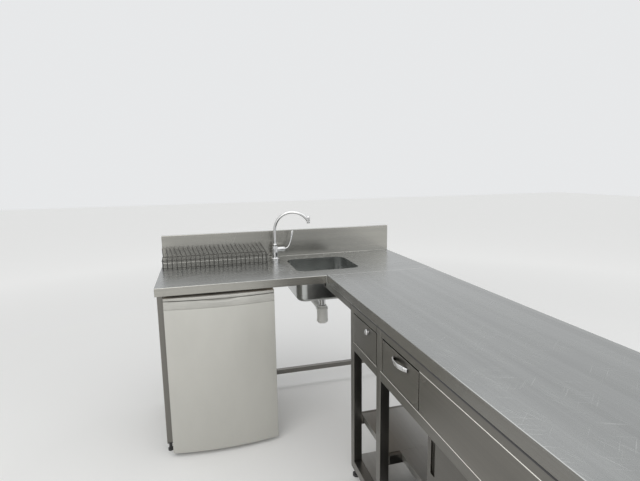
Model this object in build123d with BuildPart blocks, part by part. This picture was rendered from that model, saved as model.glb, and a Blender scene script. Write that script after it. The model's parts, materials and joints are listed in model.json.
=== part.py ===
"""L-shaped stainless-steel galley counter of a food trailer, in millimetres.

The back leg runs along X with a sink, a tap, a plate rack and a refrigerator built under it.
The serving leg runs along Y with two drawers, open shelves and a pair of sliding doors.
The user stands at -X, -Y of the inner corner. The origin is on the floor, under the middle of
the counter's box, with +Z up and +Y towards the back wall.
"""

import os
from math import cos, radians, sin

from build123d import *

os.makedirs("parts", exist_ok=True)

# Plan of the counter
BACK_LENGTH = 1473.0
BACK_DEPTH = 625.0
SERVE_LENGTH = 2515.0
SERVE_DEPTH = 610.0
LEFT = -BACK_LENGTH / 2
RIGHT = BACK_LENGTH / 2
NEAR = -SERVE_LENGTH / 2
WALL = SERVE_LENGTH / 2
X0 = RIGHT - SERVE_DEPTH
Y0 = WALL - BACK_DEPTH

# Clearances: what slides or turns, and what is laid in place beside its neighbour
RUN_GAP = 0.3
PIN_GAP = 0.1
LAY_GAP = 0.5

# Worktops: folded sheet on a plywood core with battens
TOP_HEIGHT = 905.0
SHEET = 1.5
BEND = 3.0
FASCIA = 43.0
LIP = 14.0
UPSTAND_HEIGHT = 171.0
UPSTAND_DEPTH = 18.0
UPSTAND_DROP = 20.0
CORE = 18.0
BATTEN = 45.0
CORE_TOP = TOP_HEIGHT - SHEET
CORE_BOTTOM = CORE_TOP - CORE
FRAME_TOP = TOP_HEIGHT - FASCIA
UPSTAND_FACE = WALL - UPSTAND_DEPTH

# Frame of square tube
TUBE = 40.0
TUBE_WALL = 2.0
SLIM = 30.0
HALF = TUBE / 2
SLIM_HALF = SLIM / 2
FRONT_INSET = 10.0
REAR_INSET = 12.0
SLIM_INSET = 2.0
SLIM_SETBACK = 95.0
WALL_GAP = 5.0
CORNER_POST_GAP = 10.0
MID_RAIL_TOP = 683.0
SLIM_LOW_RAIL = 115.0
FIXING_INSET = 240.0
FIXING_RADIUS = 4.5
FRONT = X0 + FRONT_INSET
REAR = RIGHT - REAR_INSET - TUBE
SLIM_X = LEFT + SLIM_INSET + SLIM_HALF
SLIM_FRONT_Y = Y0 + SLIM_SETBACK
SLIM_Y = WALL - WALL_GAP - SLIM_HALF
CORNER_POST_Y = WALL - CORNER_POST_GAP - HALF

# Adjustable feet of the posts
FOOT_HEIGHT = 50.0
FOOT_PAD = 12.0
FOOT_PAD_INSET = 1.0
FOOT_STEM = 8.0
FOOT_CAP = 6.0
FOOT_PLUG = 25.0
FOOT_SIDES = 8

# Posts of the serving leg, as distances from the inner corner to each post's middle
POST_1 = 370.0
POST_2 = 676.0
END_INSET = 2.0
POST_1_Y = Y0 - POST_1
POST_2_Y = Y0 - POST_2
END_POST_Y = NEAR + END_INSET + HALF
LOW_RAIL = FOOT_HEIGHT + HALF
MID_RAIL = MID_RAIL_TOP - HALF
TOP_RAIL = FRAME_TOP - HALF
SLIM_TOP_RAIL = FRAME_TOP - SLIM_HALF

# Sink, its basket waste and its trap
SINK_PAST_CORNER = 130.0
SINK_SETBACK = 125.0
SINK_WIDTH = 368.0
SINK_LENGTH = 353.0
SINK_DEPTH = 180.0
SINK_CORNER = 55.0
SINK_FLOOR_EDGE = 16.0
SINK_SHEET = 1.2
SINK_CORE_GAP = 12.0
SINK_RAIL_GAP = 18.0
WASTE_RADIUS = 45.0
WASTE_RIM = 10.0
CUP_DEPTH = 32.0
CUP_SIDES = 24
STRAINER_BAR = 4.0
TAIL_RADIUS = 20.0
TAIL_LENGTH = 75.0
TAIL_SIDES = 12
TRAP_RADIUS = 34.0
TRAP_SIDES = 24
TRAP_HEIGHT = 110.0
TRAP_NUT = 7.0
TRAP_NUT_SIDES = 12
TRAP_NUT_HEIGHT = 14.0
TRAP_NUT_REACH = 24.0
OUTLET_DROP = 28.0
DRAIN_RADIUS = 20.0
DRAIN_WALL = 2.0
SINK_X0 = X0 - SINK_PAST_CORNER
SINK_Y0 = Y0 + SINK_SETBACK
SINK_X = SINK_X0 + SINK_WIDTH / 2
SINK_Y = SINK_Y0 + SINK_LENGTH / 2
SINK_FLOOR = TOP_HEIGHT - SINK_DEPTH
WASTE_TOP = SINK_FLOOR + SINK_SHEET
TRAP_TOP = SINK_FLOOR - TAIL_LENGTH
OUTLET_Z = TRAP_TOP - OUTLET_DROP
SINK_RAIL_Y = SINK_Y0 - SINK_CORE_GAP - SINK_RAIL_GAP - HALF

# Tap
TAP_PAST_CORNER = 186.0
TAP_WALL_GAP = 77.0
TAP_BASE_RADIUS = 27.0
TAP_BASE_HEIGHT = 7.0
TAP_COLUMN_RADIUS = 19.0
TAP_COLUMN_HEIGHT = 82.0
TAP_VALVE_HEIGHT = 61.0
TAP_VALVE_RADIUS = 16.0
TAP_VALVE_REACH = 51.0
VALVE_SIDES = 20
TAP_SHANK_RADIUS = 16.5
TAP_SHANK_LENGTH = 60.0
SHANK_SIDES = 12
SPOUT_RADIUS = 10.0
SPOUT_SIDES = 8
SPOUT_SOCKET = 15.0
SPOUT_COLLAR_RADIUS = 14.0
SPOUT_COLLAR_HEIGHT = 16.0
SPOUT_RISE = 180.0
SPOUT_ARC_RADIUS = 115.0
SPOUT_SWEEP = 149.0
SPOUT_TURN = -20.0
SPRAY_RADIUS = 11.5
SPRAY_LENGTH = 46.0
SPRAY_DROP = 14.0
LEVER_RADIUS = 4.5
LEVER_SIDES = 8
LEVER_BENDS = ((6.0, 0.0), (32.0, 12.0), (51.0, 46.0), (62.0, 104.0))
LEVER_HUB = 12.0
LEVER_TIP_RADIUS = 6.0
LEVER_TIP_LENGTH = 9.0
TAP_X = X0 - TAP_PAST_CORNER
TAP_Y = UPSTAND_FACE - TAP_WALL_GAP

# Plate rack of round wire
RACK_INSET = 12.0
RACK_TAP_GAP = 30.0
RIB_PITCH = 26.0
WIRE = 2.0
RIB_SIDES = 6
TIE_SIDES = 8
TIE_TURN = 22.5
RACK_WALL_GAP = 32.0
RACK_STEP = 70.0
RACK_FRONT_HEIGHT = 58.0
RACK_MID_HEIGHT = 62.0
RACK_TOP_HEIGHT = 98.0
RIB_LEAN = 9.0
RACK_END = 6.0
TIE_LIFT = 6.0
TIE_DROP = 8.0
RACK_X0 = LEFT + RACK_INSET
RACK_REAR = UPSTAND_FACE - RACK_WALL_GAP
RACK_MID = RACK_REAR - RACK_STEP
RACK_FRONT = RACK_MID - RACK_STEP
RIB_RUN = TAP_X - TAP_BASE_RADIUS - RACK_TAP_GAP - RACK_X0
RIB_COUNT = int(RIB_RUN // RIB_PITCH) + 1

# Drawers, inset between the mid rail and the top rail
DRAWER_GAP = 5.0
STILE = 19.0
DRAWER_B_WIDTH = 292.0
FRONT_DEPTH = 20.0
FRONT_SHEET = 1.2
BOX_SHEET = 1.2
BOX_DEPTH = 470.0
BOX_HEIGHT = 90.0
BOX_LIFT = 17.0
RUNNER_SPACE = 13.0
RUNNER_LIFT = 45.0
CHANNEL_HEIGHT = 44.0
CHANNEL_DEPTH = 10.0
CHANNEL_SHEET = 2.0
SLIDER_GAP = 0.4
CRADLE_SETBACK = 50.0
CRADLE_LENGTH = 480.0
CRADLE_SHEET = 1.5
CRADLE_LIFT = 4.0
KNOB_FROM_EDGE = 180.0
KNOB_DROP = 21.0
KNOB_RADIUS = 13.0
KNOB_NECK_RADIUS = 7.0
KNOB_NECK = 6.0
KNOB_HEAD = 9.0
KNOB_SIDES = 24
HANDLE_FROM_EDGE = 155.0
HANDLE_DROP = 29.0
HANDLE_LENGTH = 122.0
HANDLE_REACH = 20.0
HANDLE_BAR = 18.0
HANDLE_THICK = 5.0
FRONT_BOTTOM = MID_RAIL_TOP + DRAWER_GAP
FRONT_TOP = FRAME_TOP - TUBE - DRAWER_GAP
BOX_FLOOR = MID_RAIL_TOP + BOX_LIFT
RUNNER_Z = BOX_FLOOR + RUNNER_LIFT
CRADLE_X0 = FRONT + CRADLE_SETBACK
DRAWER_B_START = POST_2 + HALF + STILE
DRAWER_B_END = DRAWER_B_START + DRAWER_B_WIDTH

# Each row is label, left edge, right edge, as distances from the inner corner.
DRAWERS = [
    ("drawer_a", POST_1 + HALF, POST_2 - HALF),
    ("drawer_b", DRAWER_B_START, DRAWER_B_END),
]

# Sliding doors, their tracks and what lies behind them
OPENING_FAR = POST_2_Y - HALF
OPENING_NEAR = END_POST_Y + HALF
DOOR_END_GAP = 5.0
DOOR_LENGTH = 590.0
DOOR_REST_OPEN = 289.0
DOOR_THICK = 16.0
DOOR_SHEET = 1.2
DOOR_SETBACK = 48.0
DOOR_SPACING = 8.0
DOOR_HEAD_GAP = 15.0
DOOR_FLOOR_GAP = 3.0
TRACK_GAP = 2.5
TRACK_SHEET = 1.5
TRACK_LOW_FLANGE = 10.0
TRACK_HIGH_FLANGE = 22.0
GLIDE_LENGTH = 40.0
GLIDE_INSET = 2.0
PULL_HEIGHT = 120.0
PULL_WIDTH = 26.0
PULL_DEPTH = 9.0
PULL_INSET = 34.0
PULL_DROP = 148.0
DECK_SHEET = 1.5
SHELF_TOP = 315.0
SHELF_SHEET = 1.2
SHELF_EDGE = 28.0
SHELF_FRONT_GAP = 6.0
SHELF_REAR_GAP = 4.0
PANEL_SHEET = 1.0
DECK_TOP = FOOT_HEIGHT + TUBE + DECK_SHEET
DOOR_BOTTOM = DECK_TOP + TRACK_SHEET + DOOR_FLOOR_GAP
DOOR_TOP = MID_RAIL_TOP - DOOR_HEAD_GAP
PULL_Z = DOOR_TOP - PULL_DROP
DOOR_PLANE_1 = FRONT + DOOR_SETBACK
DOOR_PLANE_2 = DOOR_PLANE_1 + DOOR_THICK + DOOR_SPACING
TRACK_X0 = FRONT + TUBE
TRACK_FLANGES = [
    DOOR_PLANE_1 - TRACK_GAP - TRACK_SHEET,
    DOOR_PLANE_2 - DOOR_SPACING / 2 - TRACK_SHEET / 2,
    DOOR_PLANE_2 + DOOR_THICK + TRACK_GAP,
]
TRACK_X1 = TRACK_FLANGES[-1] + TRACK_SHEET
SHELF_RAIL = SHELF_TOP - SHELF_SHEET - HALF
SHELF_X1 = REAR - SHELF_REAR_GAP

# Refrigerator: its case, lid and feet
FRIDGE_POST_GAP = 3.0
FRIDGE_SETBACK = 20.0
FRIDGE_TOP_GAP = 16.0
FRIDGE_WIDTH = 548.0
FRIDGE_BOTTOM = 22.0
LID = 13.0
LID_EDGE = 2.0
FRIDGE_CORNER = 3.0
DOOR_LID_GAP = 5.0
DOOR_BOW = 26.0
DOOR_BODY = 45.0
DOOR_SKIN = 2.0
GASKET = 10.0
GASKET_INSET = 15.0
GASKET_WIDTH = 18.0
CABINET_DEPTH = 485.0
CABINET_SKIN = 1.2
NICHE_HEIGHT = 208.0
NICHE_DEPTH = 125.0
FRIDGE_FOOT = 16.0
FRIDGE_FOOT_INSETS = (70.0, 40.0)
FRIDGE_FOOT_SETBACKS = (70.0, 60.0)
FIXING_LEVELS = (180.0, 640.0)
FIXING_HEIGHT = 60.0
FRIDGE_X0 = SLIM_X + SLIM_HALF + FRIDGE_POST_GAP
FRIDGE_X1 = FRIDGE_X0 + FRIDGE_WIDTH
FRIDGE_MIDDLE = (FRIDGE_X0 + FRIDGE_X1) / 2
FRIDGE_FRONT = Y0 + FRIDGE_SETBACK
FRIDGE_TOP = FRAME_TOP - FRIDGE_TOP_GAP
DOOR_BACK = FRIDGE_FRONT + DOOR_BODY
CABINET_FRONT = DOOR_BACK + GASKET
CABINET_BACK = CABINET_FRONT + CABINET_DEPTH
CABINET_TOP = FRIDGE_TOP - LID
NICHE_TOP = FRIDGE_BOTTOM + NICHE_HEIGHT
NICHE_Y0 = CABINET_BACK - NICHE_DEPTH
DOOR_TOP_EDGE = CABINET_TOP - DOOR_LID_GAP

# Inside of the refrigerator. Levels are above the liner's floor.
LINER_SKIN = 2.5
LINER_WALL = 35.0
LINER_FLOOR = 40.0
LINER_REAR = 40.0
LINER_STEP = 35.0
LINER_CORNER = 14.0
SHELF_GLASS = 4.0
SHELF_CLEAR = 90.0
FRIDGE_SHELVES = (268.0, 418.0, 578.0)
CRISPER_HEIGHT = 170.0
CRISPER_GAP = 4.0
BIN_LEVELS = (33.0, 273.0, 528.0)
BIN_DEPTH = 78.0
BIN_HEIGHT = 70.0
HINGE_GAP = 8.0
SWING_GAP = 10.0
BIN_SWING_GAP = 25.0
PANEL_MARGIN = 10.0
LINER_X0 = FRIDGE_X0 + LINER_WALL
LINER_X1 = FRIDGE_X1 - LINER_WALL
LINER_Z0 = FRIDGE_BOTTOM + LINER_FLOOR
LINER_Z1 = CABINET_TOP - LINER_WALL
LINER_Y1 = CABINET_BACK - LINER_REAR
STEP_Y = NICHE_Y0 - 2 * LINER_STEP
STEP_Z = NICHE_TOP + LINER_STEP
LINING_X0 = LINER_X0 + HINGE_GAP
LINING_X1 = LINER_X1 - SWING_GAP
BIN_X1 = LINER_X1 - BIN_SWING_GAP
FRIDGE_SHELF_Y0 = CABINET_FRONT + SHELF_CLEAR

# Moulded strip along the top of the refrigerator's door, with a finger scoop
STRIP = 41.0
GROOVE = 1.5
GROOVE_DEPTH = 2.0
GRIP_WIDTH = 217.0
GRIP_DEPTH = 10.0
GRIP_SLOPE = 45.0
STRIP_Z0 = DOOR_TOP_EDGE - STRIP
BOW_RADIUS = ((FRIDGE_WIDTH / 2) ** 2 + DOOR_BOW**2) / (2 * DOOR_BOW)
GRIP_FALL = (GRIP_WIDTH / 2) ** 2 / (2 * BOW_RADIUS) * cos(radians(GRIP_SLOPE))
SCOOP_RADIUS = (GRIP_WIDTH / 2) ** 2 / (2 * (GRIP_DEPTH - GRIP_FALL))

# Refrigerator's hinges, compressor and condenser
HINGE_INSET = 12.0
HINGE_PIN = 4.0
PIN_LENGTH = 15.0
PIN_HOLE = 12.0
BRACKET_INSET = 4.0
BRACKET_WIDTH = 40.0
BRACKET_SHEET = 3.0
BRACKET_SPACER = 2.0
BRACKET_NOSE = 8.0
TRAY_SHEET = 2.0
COMPRESSOR_RADIUS = 54.0
COMPRESSOR_SIDES = 24
COMPRESSOR_HEIGHT = 120.0
COMPRESSOR_CAP = 24.0
COMPRESSOR_CAP_INSET = 12.0
COMPRESSOR_OFFSET = 90.0
COMPRESSOR_SETBACK = 62.0
CONDENSER_ROWS = 10
CONDENSER_PITCH = 54.0
CONDENSER_INSET = 50.0
CONDENSER_WIRE = 4.0
CONDENSER_STANDOFF = 8.0
CONDENSER_LIFT = 30.0
STAY_INSET = 10.0
HINGE_X = FRIDGE_X0 + HINGE_INSET
HINGE_Y = FRIDGE_FRONT + HINGE_INSET


def block(x0, x1, y0, y1, z0, z1, mode=Mode.ADD):
    """A box between two corners, in the part being built."""
    with Locations(((x0 + x1) / 2, (y0 + y1) / 2, (z0 + z1) / 2)):
        Box(x1 - x0, y1 - y0, z1 - z0, mode=mode)


def tube_run(start, end, size):
    """A straight square tube from start to end, open at both ends."""
    run = Vector(*end) - Vector(*start)
    across = Vector(0, 0, 1) if abs(run.Z) < 1 else Vector(1, 0, 0)
    with BuildSketch(Plane(origin=start, x_dir=across, z_dir=run)) as section:
        Rectangle(size, size)
        Rectangle(size - 2 * TUBE_WALL, size - 2 * TUBE_WALL, mode=Mode.SUBTRACT)
    extrude(section.sketch, amount=run.length)


def disc(x, y, z, radius, height, mode=Mode.ADD):
    """An upright cylinder from z up, or down where its height is negative."""
    align = Align.MIN if height > 0 else Align.MAX
    with Locations((x, y, z)):
        Cylinder(radius, abs(height), align=(Align.CENTER, Align.CENTER, align), mode=mode)


def prism(plane, radius, sides, amount, mode=Mode.ADD):
    """A bar with a regular section along the normal of its plane."""
    with BuildSketch(plane) as section:
        RegularPolygon(radius, sides)
    extrude(section.sketch, amount=amount, mode=mode)


def bowed_plan(z, inset, back):
    """Plan of the refrigerator's front: an arc between straight sides, from an inset to the back."""
    with BuildSketch(Plane.XY.offset(z)) as plan:
        with BuildLine():
            ThreePointArc(
                (FRIDGE_X0 + inset, FRIDGE_FRONT + inset),
                (FRIDGE_MIDDLE, FRIDGE_FRONT - DOOR_BOW + inset),
                (FRIDGE_X1 - inset, FRIDGE_FRONT + inset),
            )
            Polyline(
                (FRIDGE_X1 - inset, FRIDGE_FRONT + inset),
                (FRIDGE_X1 - inset, back),
                (FRIDGE_X0 + inset, back),
                (FRIDGE_X0 + inset, FRIDGE_FRONT + inset),
            )
        make_face()
        fillet(plan.vertices().group_by(Axis.Y)[0], FRIDGE_CORNER)
    return plan.sketch


def save(part, label):
    """Labels a finished piece and writes it."""
    part.label = label
    export_step(part, f"parts/{label}.step")


# Back worktop: lip, fascia, top, upstand and its return, folded from one sheet
with BuildPart() as worktop_back:
    with BuildSketch(Plane(origin=(LEFT, 0, 0), x_dir=(0, 1, 0), z_dir=(1, 0, 0))):
        with BuildLine():
            FilletPolyline(
                (Y0 + LIP, FRAME_TOP),
                (Y0, FRAME_TOP),
                (Y0, TOP_HEIGHT),
                (UPSTAND_FACE, TOP_HEIGHT),
                (UPSTAND_FACE, TOP_HEIGHT + UPSTAND_HEIGHT),
                (WALL, TOP_HEIGHT + UPSTAND_HEIGHT),
                (WALL, TOP_HEIGHT + UPSTAND_HEIGHT - UPSTAND_DROP),
                radius=BEND,
            )
            offset(amount=SHEET, side=Side.RIGHT)
        make_face()
    extrude(amount=X0 - LEFT)
    with BuildSketch(Plane(origin=(X0, 0, 0), x_dir=(0, 1, 0), z_dir=(1, 0, 0))):
        with BuildLine():
            FilletPolyline(
                (Y0, TOP_HEIGHT),
                (UPSTAND_FACE, TOP_HEIGHT),
                (UPSTAND_FACE, TOP_HEIGHT + UPSTAND_HEIGHT),
                (WALL, TOP_HEIGHT + UPSTAND_HEIGHT),
                (WALL, TOP_HEIGHT + UPSTAND_HEIGHT - UPSTAND_DROP),
                radius=BEND,
            )
            offset(amount=SHEET, side=Side.RIGHT)
        make_face()
    extrude(amount=SERVE_DEPTH)
    for edge_x in (LEFT, RIGHT - SHEET):
        block(edge_x, edge_x + SHEET, Y0 + BEND, UPSTAND_FACE, FRAME_TOP, CORE_TOP)
    with BuildSketch(Plane.XY.offset(TOP_HEIGHT)):
        with Locations((SINK_X, SINK_Y)):
            RectangleRounded(SINK_WIDTH, SINK_LENGTH, SINK_CORNER)
    extrude(amount=-SHEET, mode=Mode.SUBTRACT)
    disc(TAP_X, TAP_Y, TOP_HEIGHT, TAP_SHANK_RADIUS, -SHEET, mode=Mode.SUBTRACT)
save(worktop_back.part, "worktop_back")

# Serving worktop, folded down along both long edges
with BuildPart() as worktop_serving:
    with BuildSketch(Plane(origin=(0, NEAR, 0), x_dir=(1, 0, 0), z_dir=(0, -1, 0))):
        with BuildLine():
            FilletPolyline(
                (X0 + LIP, FRAME_TOP),
                (X0, FRAME_TOP),
                (X0, TOP_HEIGHT),
                (RIGHT, TOP_HEIGHT),
                (RIGHT, FRAME_TOP),
                (RIGHT - LIP, FRAME_TOP),
                radius=BEND,
            )
            offset(amount=SHEET, side=Side.RIGHT)
        make_face()
    extrude(amount=-(Y0 - NEAR))
    block(X0 + BEND, RIGHT - BEND, NEAR, NEAR + SHEET, FRAME_TOP, CORE_TOP)
save(worktop_serving.part, "worktop_serving")

# Plywood cores under the sheets, the back one cut out round the sink
with BuildPart() as core_back:
    block(LEFT + SHEET, RIGHT - SHEET, Y0 + BEND, UPSTAND_FACE - BEND, CORE_BOTTOM, CORE_TOP)
    with BuildSketch(Plane.XY.offset(CORE_BOTTOM)):
        with Locations((SINK_X, SINK_Y)):
            RectangleRounded(SINK_WIDTH + 2 * SINK_CORE_GAP, SINK_LENGTH + 2 * SINK_CORE_GAP, SINK_CORNER)
    extrude(amount=CORE, mode=Mode.SUBTRACT)
    disc(TAP_X, TAP_Y, CORE_BOTTOM, TAP_SHANK_RADIUS + RUN_GAP, CORE, mode=Mode.SUBTRACT)
save(core_back.part, "core_back")

with BuildPart() as core_serving:
    block(X0 + BEND, RIGHT - BEND, NEAR + SHEET, Y0, CORE_BOTTOM, CORE_TOP)
save(core_serving.part, "core_serving")

# Battens glued under the cores. Each row is x0, x1, y0, y1.
BATTEN_END = NEAR + SHEET + BATTEN
BATTENS = [
    (LEFT + SHEET, X0 - LIP, Y0 + BEND, Y0 + BEND + BATTEN),
    (LEFT + SHEET, RIGHT - LIP, SLIM_Y - BATTEN, SLIM_Y),
    (X0 + BEND, X0 + BEND + BATTEN, BATTEN_END + LAY_GAP, Y0 - LIP),
    (RIGHT - BEND - BATTEN, RIGHT - BEND, BATTEN_END + LAY_GAP, Y0 - LIP),
    (X0 + BEND, RIGHT - BEND, NEAR + SHEET, BATTEN_END),
]
with BuildPart() as battens:
    for x0, x1, y0, y1 in BATTENS:
        block(x0, x1, y0, y1, FRAME_TOP + SHEET, CORE_BOTTOM)
save(battens.part, "battens")

# Posts, from the feet to the tops. Each row is x, y, tube size.
POSTS = [(FRONT + HALF, y, TUBE) for y in (POST_1_Y, POST_2_Y, END_POST_Y)]
POSTS += [(REAR + HALF, y, TUBE) for y in (POST_1_Y, POST_2_Y, END_POST_Y, CORNER_POST_Y)]
POSTS += [(SLIM_X, y, SLIM) for y in (SLIM_FRONT_Y, SLIM_Y)]
with BuildPart() as posts:
    for x, y, size in POSTS:
        tube_run((x, y, FOOT_HEIGHT), (x, y, FRAME_TOP), size)
save(posts.part, "posts")

# Adjustable feet: a pad, a hexagonal stem, a cap under the post and a plug inside it
with BuildPart() as feet:
    for x, y, size in POSTS:
        cap = size / 2 - FOOT_PAD_INSET
        plug = size / 2 - TUBE_WALL - RUN_GAP
        prism(Plane((x, y, 0)), cap, FOOT_SIDES, FOOT_PAD)
        prism(Plane((x, y, FOOT_PAD)), FOOT_STEM, 6, FOOT_HEIGHT - FOOT_CAP - FOOT_PAD)
        block(x - cap, x + cap, y - cap, y + cap, FOOT_HEIGHT - FOOT_CAP, FOOT_HEIGHT)
        block(x - plug, x + plug, y - plug, y + plug, FOOT_HEIGHT, FOOT_HEIGHT + FOOT_PLUG)
save(feet.part, "feet")

# Rails along X. Each row is x0, x1, y, z, tube size.
CROSS_X0 = FRONT + TUBE
DIVIDER_Y = Y0 - DRAWER_B_END - HALF
CROSS_RAILS = [(y, z) for y in (POST_1_Y, POST_2_Y, END_POST_Y) for z in (LOW_RAIL, SHELF_RAIL, TOP_RAIL)]
RAILS_X = [(CROSS_X0, REAR, y, z, TUBE) for y, z in CROSS_RAILS]
RAILS_X += [(CROSS_X0, REAR, DIVIDER_Y, TOP_RAIL, TUBE), (FRONT, REAR, SINK_RAIL_Y, TOP_RAIL, TUBE)]
RAILS_X += [(SLIM_X + SLIM_HALF, REAR, SLIM_Y, z, SLIM) for z in (SLIM_LOW_RAIL, SLIM_TOP_RAIL)]
with BuildPart() as rails_x:
    for x0, x1, y, z, size in RAILS_X:
        tube_run((x0, y, z), (x1, y, z), size)
    for x in (LEFT + FIXING_INSET, RIGHT - FIXING_INSET):
        with Locations(Location((x, SLIM_Y, SLIM_TOP_RAIL), (90, 0, 0))):
            Cylinder(FIXING_RADIUS, 2 * SLIM, mode=Mode.SUBTRACT)
save(rails_x.part, "rails_x")

# Rails along Y. Each row is x, y0, y1, z, tube size.
SPANS = [(POST_2_Y + HALF, POST_1_Y - HALF), (END_POST_Y + HALF, POST_2_Y - HALF)]
FRONT_RAILS = [(span, z) for span in SPANS for z in (LOW_RAIL, MID_RAIL, TOP_RAIL)]
REAR_RAILS = [(span, z) for span in SPANS for z in (LOW_RAIL, TOP_RAIL)]
SLIM_SPAN = (SLIM_FRONT_Y + SLIM_HALF, SLIM_Y - SLIM_HALF)
RAILS_Y = [(FRONT + HALF, *span, z, TUBE) for span, z in FRONT_RAILS]
RAILS_Y += [(REAR + HALF, *span, z, TUBE) for span, z in REAR_RAILS]
RAILS_Y += [(FRONT + HALF, POST_1_Y + HALF, SINK_RAIL_Y - HALF, TOP_RAIL, TUBE)]
RAILS_Y += [(REAR + HALF, POST_1_Y + HALF, CORNER_POST_Y - HALF, TOP_RAIL, TUBE)]
RAILS_Y += [(SLIM_X, *SLIM_SPAN, z, SLIM) for z in (SLIM_LOW_RAIL, SLIM_TOP_RAIL)]
with BuildPart() as rails_y:
    for x, y0, y1, z, size in RAILS_Y:
        tube_run((x, y0, z), (x, y1, z), size)
save(rails_y.part, "rails_y")

# Sink bowl: pressed sheet with round corners and a sloped edge to its floor
with BuildPart() as sink_bowl:
    with BuildSketch(Plane.XY.offset(SINK_FLOOR)):
        with Locations((SINK_X, SINK_Y)):
            RectangleRounded(SINK_WIDTH, SINK_LENGTH, SINK_CORNER)
    extrude(amount=SINK_DEPTH)
    chamfer(sink_bowl.faces().sort_by(Axis.Z)[0].edges(), SINK_FLOOR_EDGE)
    offset(amount=-SINK_SHEET, openings=sink_bowl.faces().sort_by(Axis.Z)[-1])
    disc(SINK_X, SINK_Y, SINK_FLOOR, WASTE_RADIUS, SINK_SHEET, mode=Mode.SUBTRACT)
save(sink_bowl.part, "sink_bowl")

# Basket waste: a rim on the bowl's floor, a cup with a barred strainer, and a tail
CUP_RADIUS = WASTE_RADIUS - RUN_GAP
CUP_FLOOR = WASTE_TOP - CUP_DEPTH
tail = Plane((SINK_X, SINK_Y, TRAP_TOP))
tail_run = CUP_FLOOR - TRAP_TOP
with BuildPart() as sink_waste:
    disc(SINK_X, SINK_Y, WASTE_TOP, WASTE_RADIUS + WASTE_RIM, SHEET)
    prism(tail.offset(tail_run - SHEET), CUP_RADIUS, CUP_SIDES, CUP_DEPTH + SHEET)
    prism(tail, TAIL_RADIUS, TAIL_SIDES, tail_run)
    prism(tail.offset(tail_run), CUP_RADIUS - SHEET, CUP_SIDES, CUP_DEPTH + SHEET, mode=Mode.SUBTRACT)
    prism(tail, TAIL_RADIUS - SHEET, TAIL_SIDES, tail_run, mode=Mode.SUBTRACT)
    for reach_x, reach_y in ((TAIL_RADIUS, STRAINER_BAR / 2), (STRAINER_BAR / 2, TAIL_RADIUS)):
        block(
            SINK_X - reach_x,
            SINK_X + reach_x,
            SINK_Y - reach_y,
            SINK_Y + reach_y,
            CUP_FLOOR - SHEET,
            CUP_FLOOR,
        )
save(sink_waste.part, "sink_waste")

# Bottle trap: a cup under a nut, with its outlet pipe running from a second nut to the back wall
PIPE_END = WALL - WALL_GAP
with BuildPart() as sink_trap:
    prism(tail.offset(-TRAP_HEIGHT), TRAP_RADIUS, TRAP_SIDES, TRAP_HEIGHT - TRAP_NUT_HEIGHT)
    prism(tail, TAIL_RADIUS + TRAP_NUT, TRAP_NUT_SIDES, -TRAP_NUT_HEIGHT)
    outlet = Plane(origin=(SINK_X, SINK_Y, OUTLET_Z), x_dir=(1, 0, 0), z_dir=(0, 1, 0))
    prism(outlet, DRAIN_RADIUS + TRAP_NUT, TRAP_NUT_SIDES, TRAP_RADIUS + TRAP_NUT_REACH)
    with BuildSketch(outlet):
        Circle(DRAIN_RADIUS)
    extrude(amount=PIPE_END - SINK_Y)
    with BuildSketch(Plane(origin=(SINK_X, PIPE_END, OUTLET_Z), x_dir=(1, 0, 0), z_dir=(0, -1, 0))):
        Circle(DRAIN_RADIUS - DRAIN_WALL)
    extrude(amount=PIPE_END - SINK_Y - TRAP_RADIUS, mode=Mode.SUBTRACT)
save(sink_trap.part, "sink_trap")

# Tap: base, column and the valve that lies to one side, with a threaded shank through the top
TAP_TOP = TOP_HEIGHT + TAP_COLUMN_HEIGHT
VALVE_Z = TOP_HEIGHT + TAP_VALVE_HEIGHT
with BuildPart() as tap_body:
    disc(TAP_X, TAP_Y, TOP_HEIGHT, TAP_BASE_RADIUS, TAP_BASE_HEIGHT)
    disc(TAP_X, TAP_Y, TOP_HEIGHT, TAP_COLUMN_RADIUS, TAP_COLUMN_HEIGHT)
    prism(Plane((TAP_X, TAP_Y, TOP_HEIGHT)), TAP_SHANK_RADIUS - RUN_GAP, SHANK_SIDES, -TAP_SHANK_LENGTH)
    valve = Plane(origin=(TAP_X, TAP_Y, VALVE_Z), x_dir=(0, 1, 0), z_dir=(1, 0, 0))
    prism(valve, TAP_VALVE_RADIUS, VALVE_SIDES, TAP_VALVE_REACH)
    disc(TAP_X, TAP_Y, TAP_TOP, SPOUT_RADIUS + RUN_GAP, -SPOUT_SOCKET - RUN_GAP, mode=Mode.SUBTRACT)
save(tap_body.part, "tap_body")

# Gooseneck spout: a riser that turns in the column, a collar, an arc and an upright spray head
SPOUT_BASE = TAP_TOP + RUN_GAP
SPOUT_START = TAP_TOP - SPOUT_SOCKET
SPOUT_BEND = TOP_HEIGHT + SPOUT_RISE
SPOUT_X_DIR = (cos(radians(SPOUT_TURN)), sin(radians(SPOUT_TURN)), 0)
SPOUT_Z_DIR = (sin(radians(SPOUT_TURN)), -cos(radians(SPOUT_TURN)), 0)
with BuildPart() as tap_spout:
    with BuildLine(Plane(origin=(TAP_X, TAP_Y, 0), x_dir=SPOUT_X_DIR, z_dir=SPOUT_Z_DIR)) as neck:
        Line((0, SPOUT_START), (0, SPOUT_BEND))
        CenterArc((SPOUT_ARC_RADIUS, SPOUT_BEND), SPOUT_ARC_RADIUS, 180, -SPOUT_SWEEP)
    with BuildSketch(Plane.XY.offset(SPOUT_START)):
        with Locations((TAP_X, TAP_Y)):
            RegularPolygon(SPOUT_RADIUS, SPOUT_SIDES)
    sweep()
    disc(TAP_X, TAP_Y, SPOUT_BASE, SPOUT_COLLAR_RADIUS, SPOUT_COLLAR_HEIGHT)
    spout_end = neck.line @ 1
    disc(spout_end.X, spout_end.Y, spout_end.Z - SPRAY_DROP, SPRAY_RADIUS, SPRAY_LENGTH)
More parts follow.
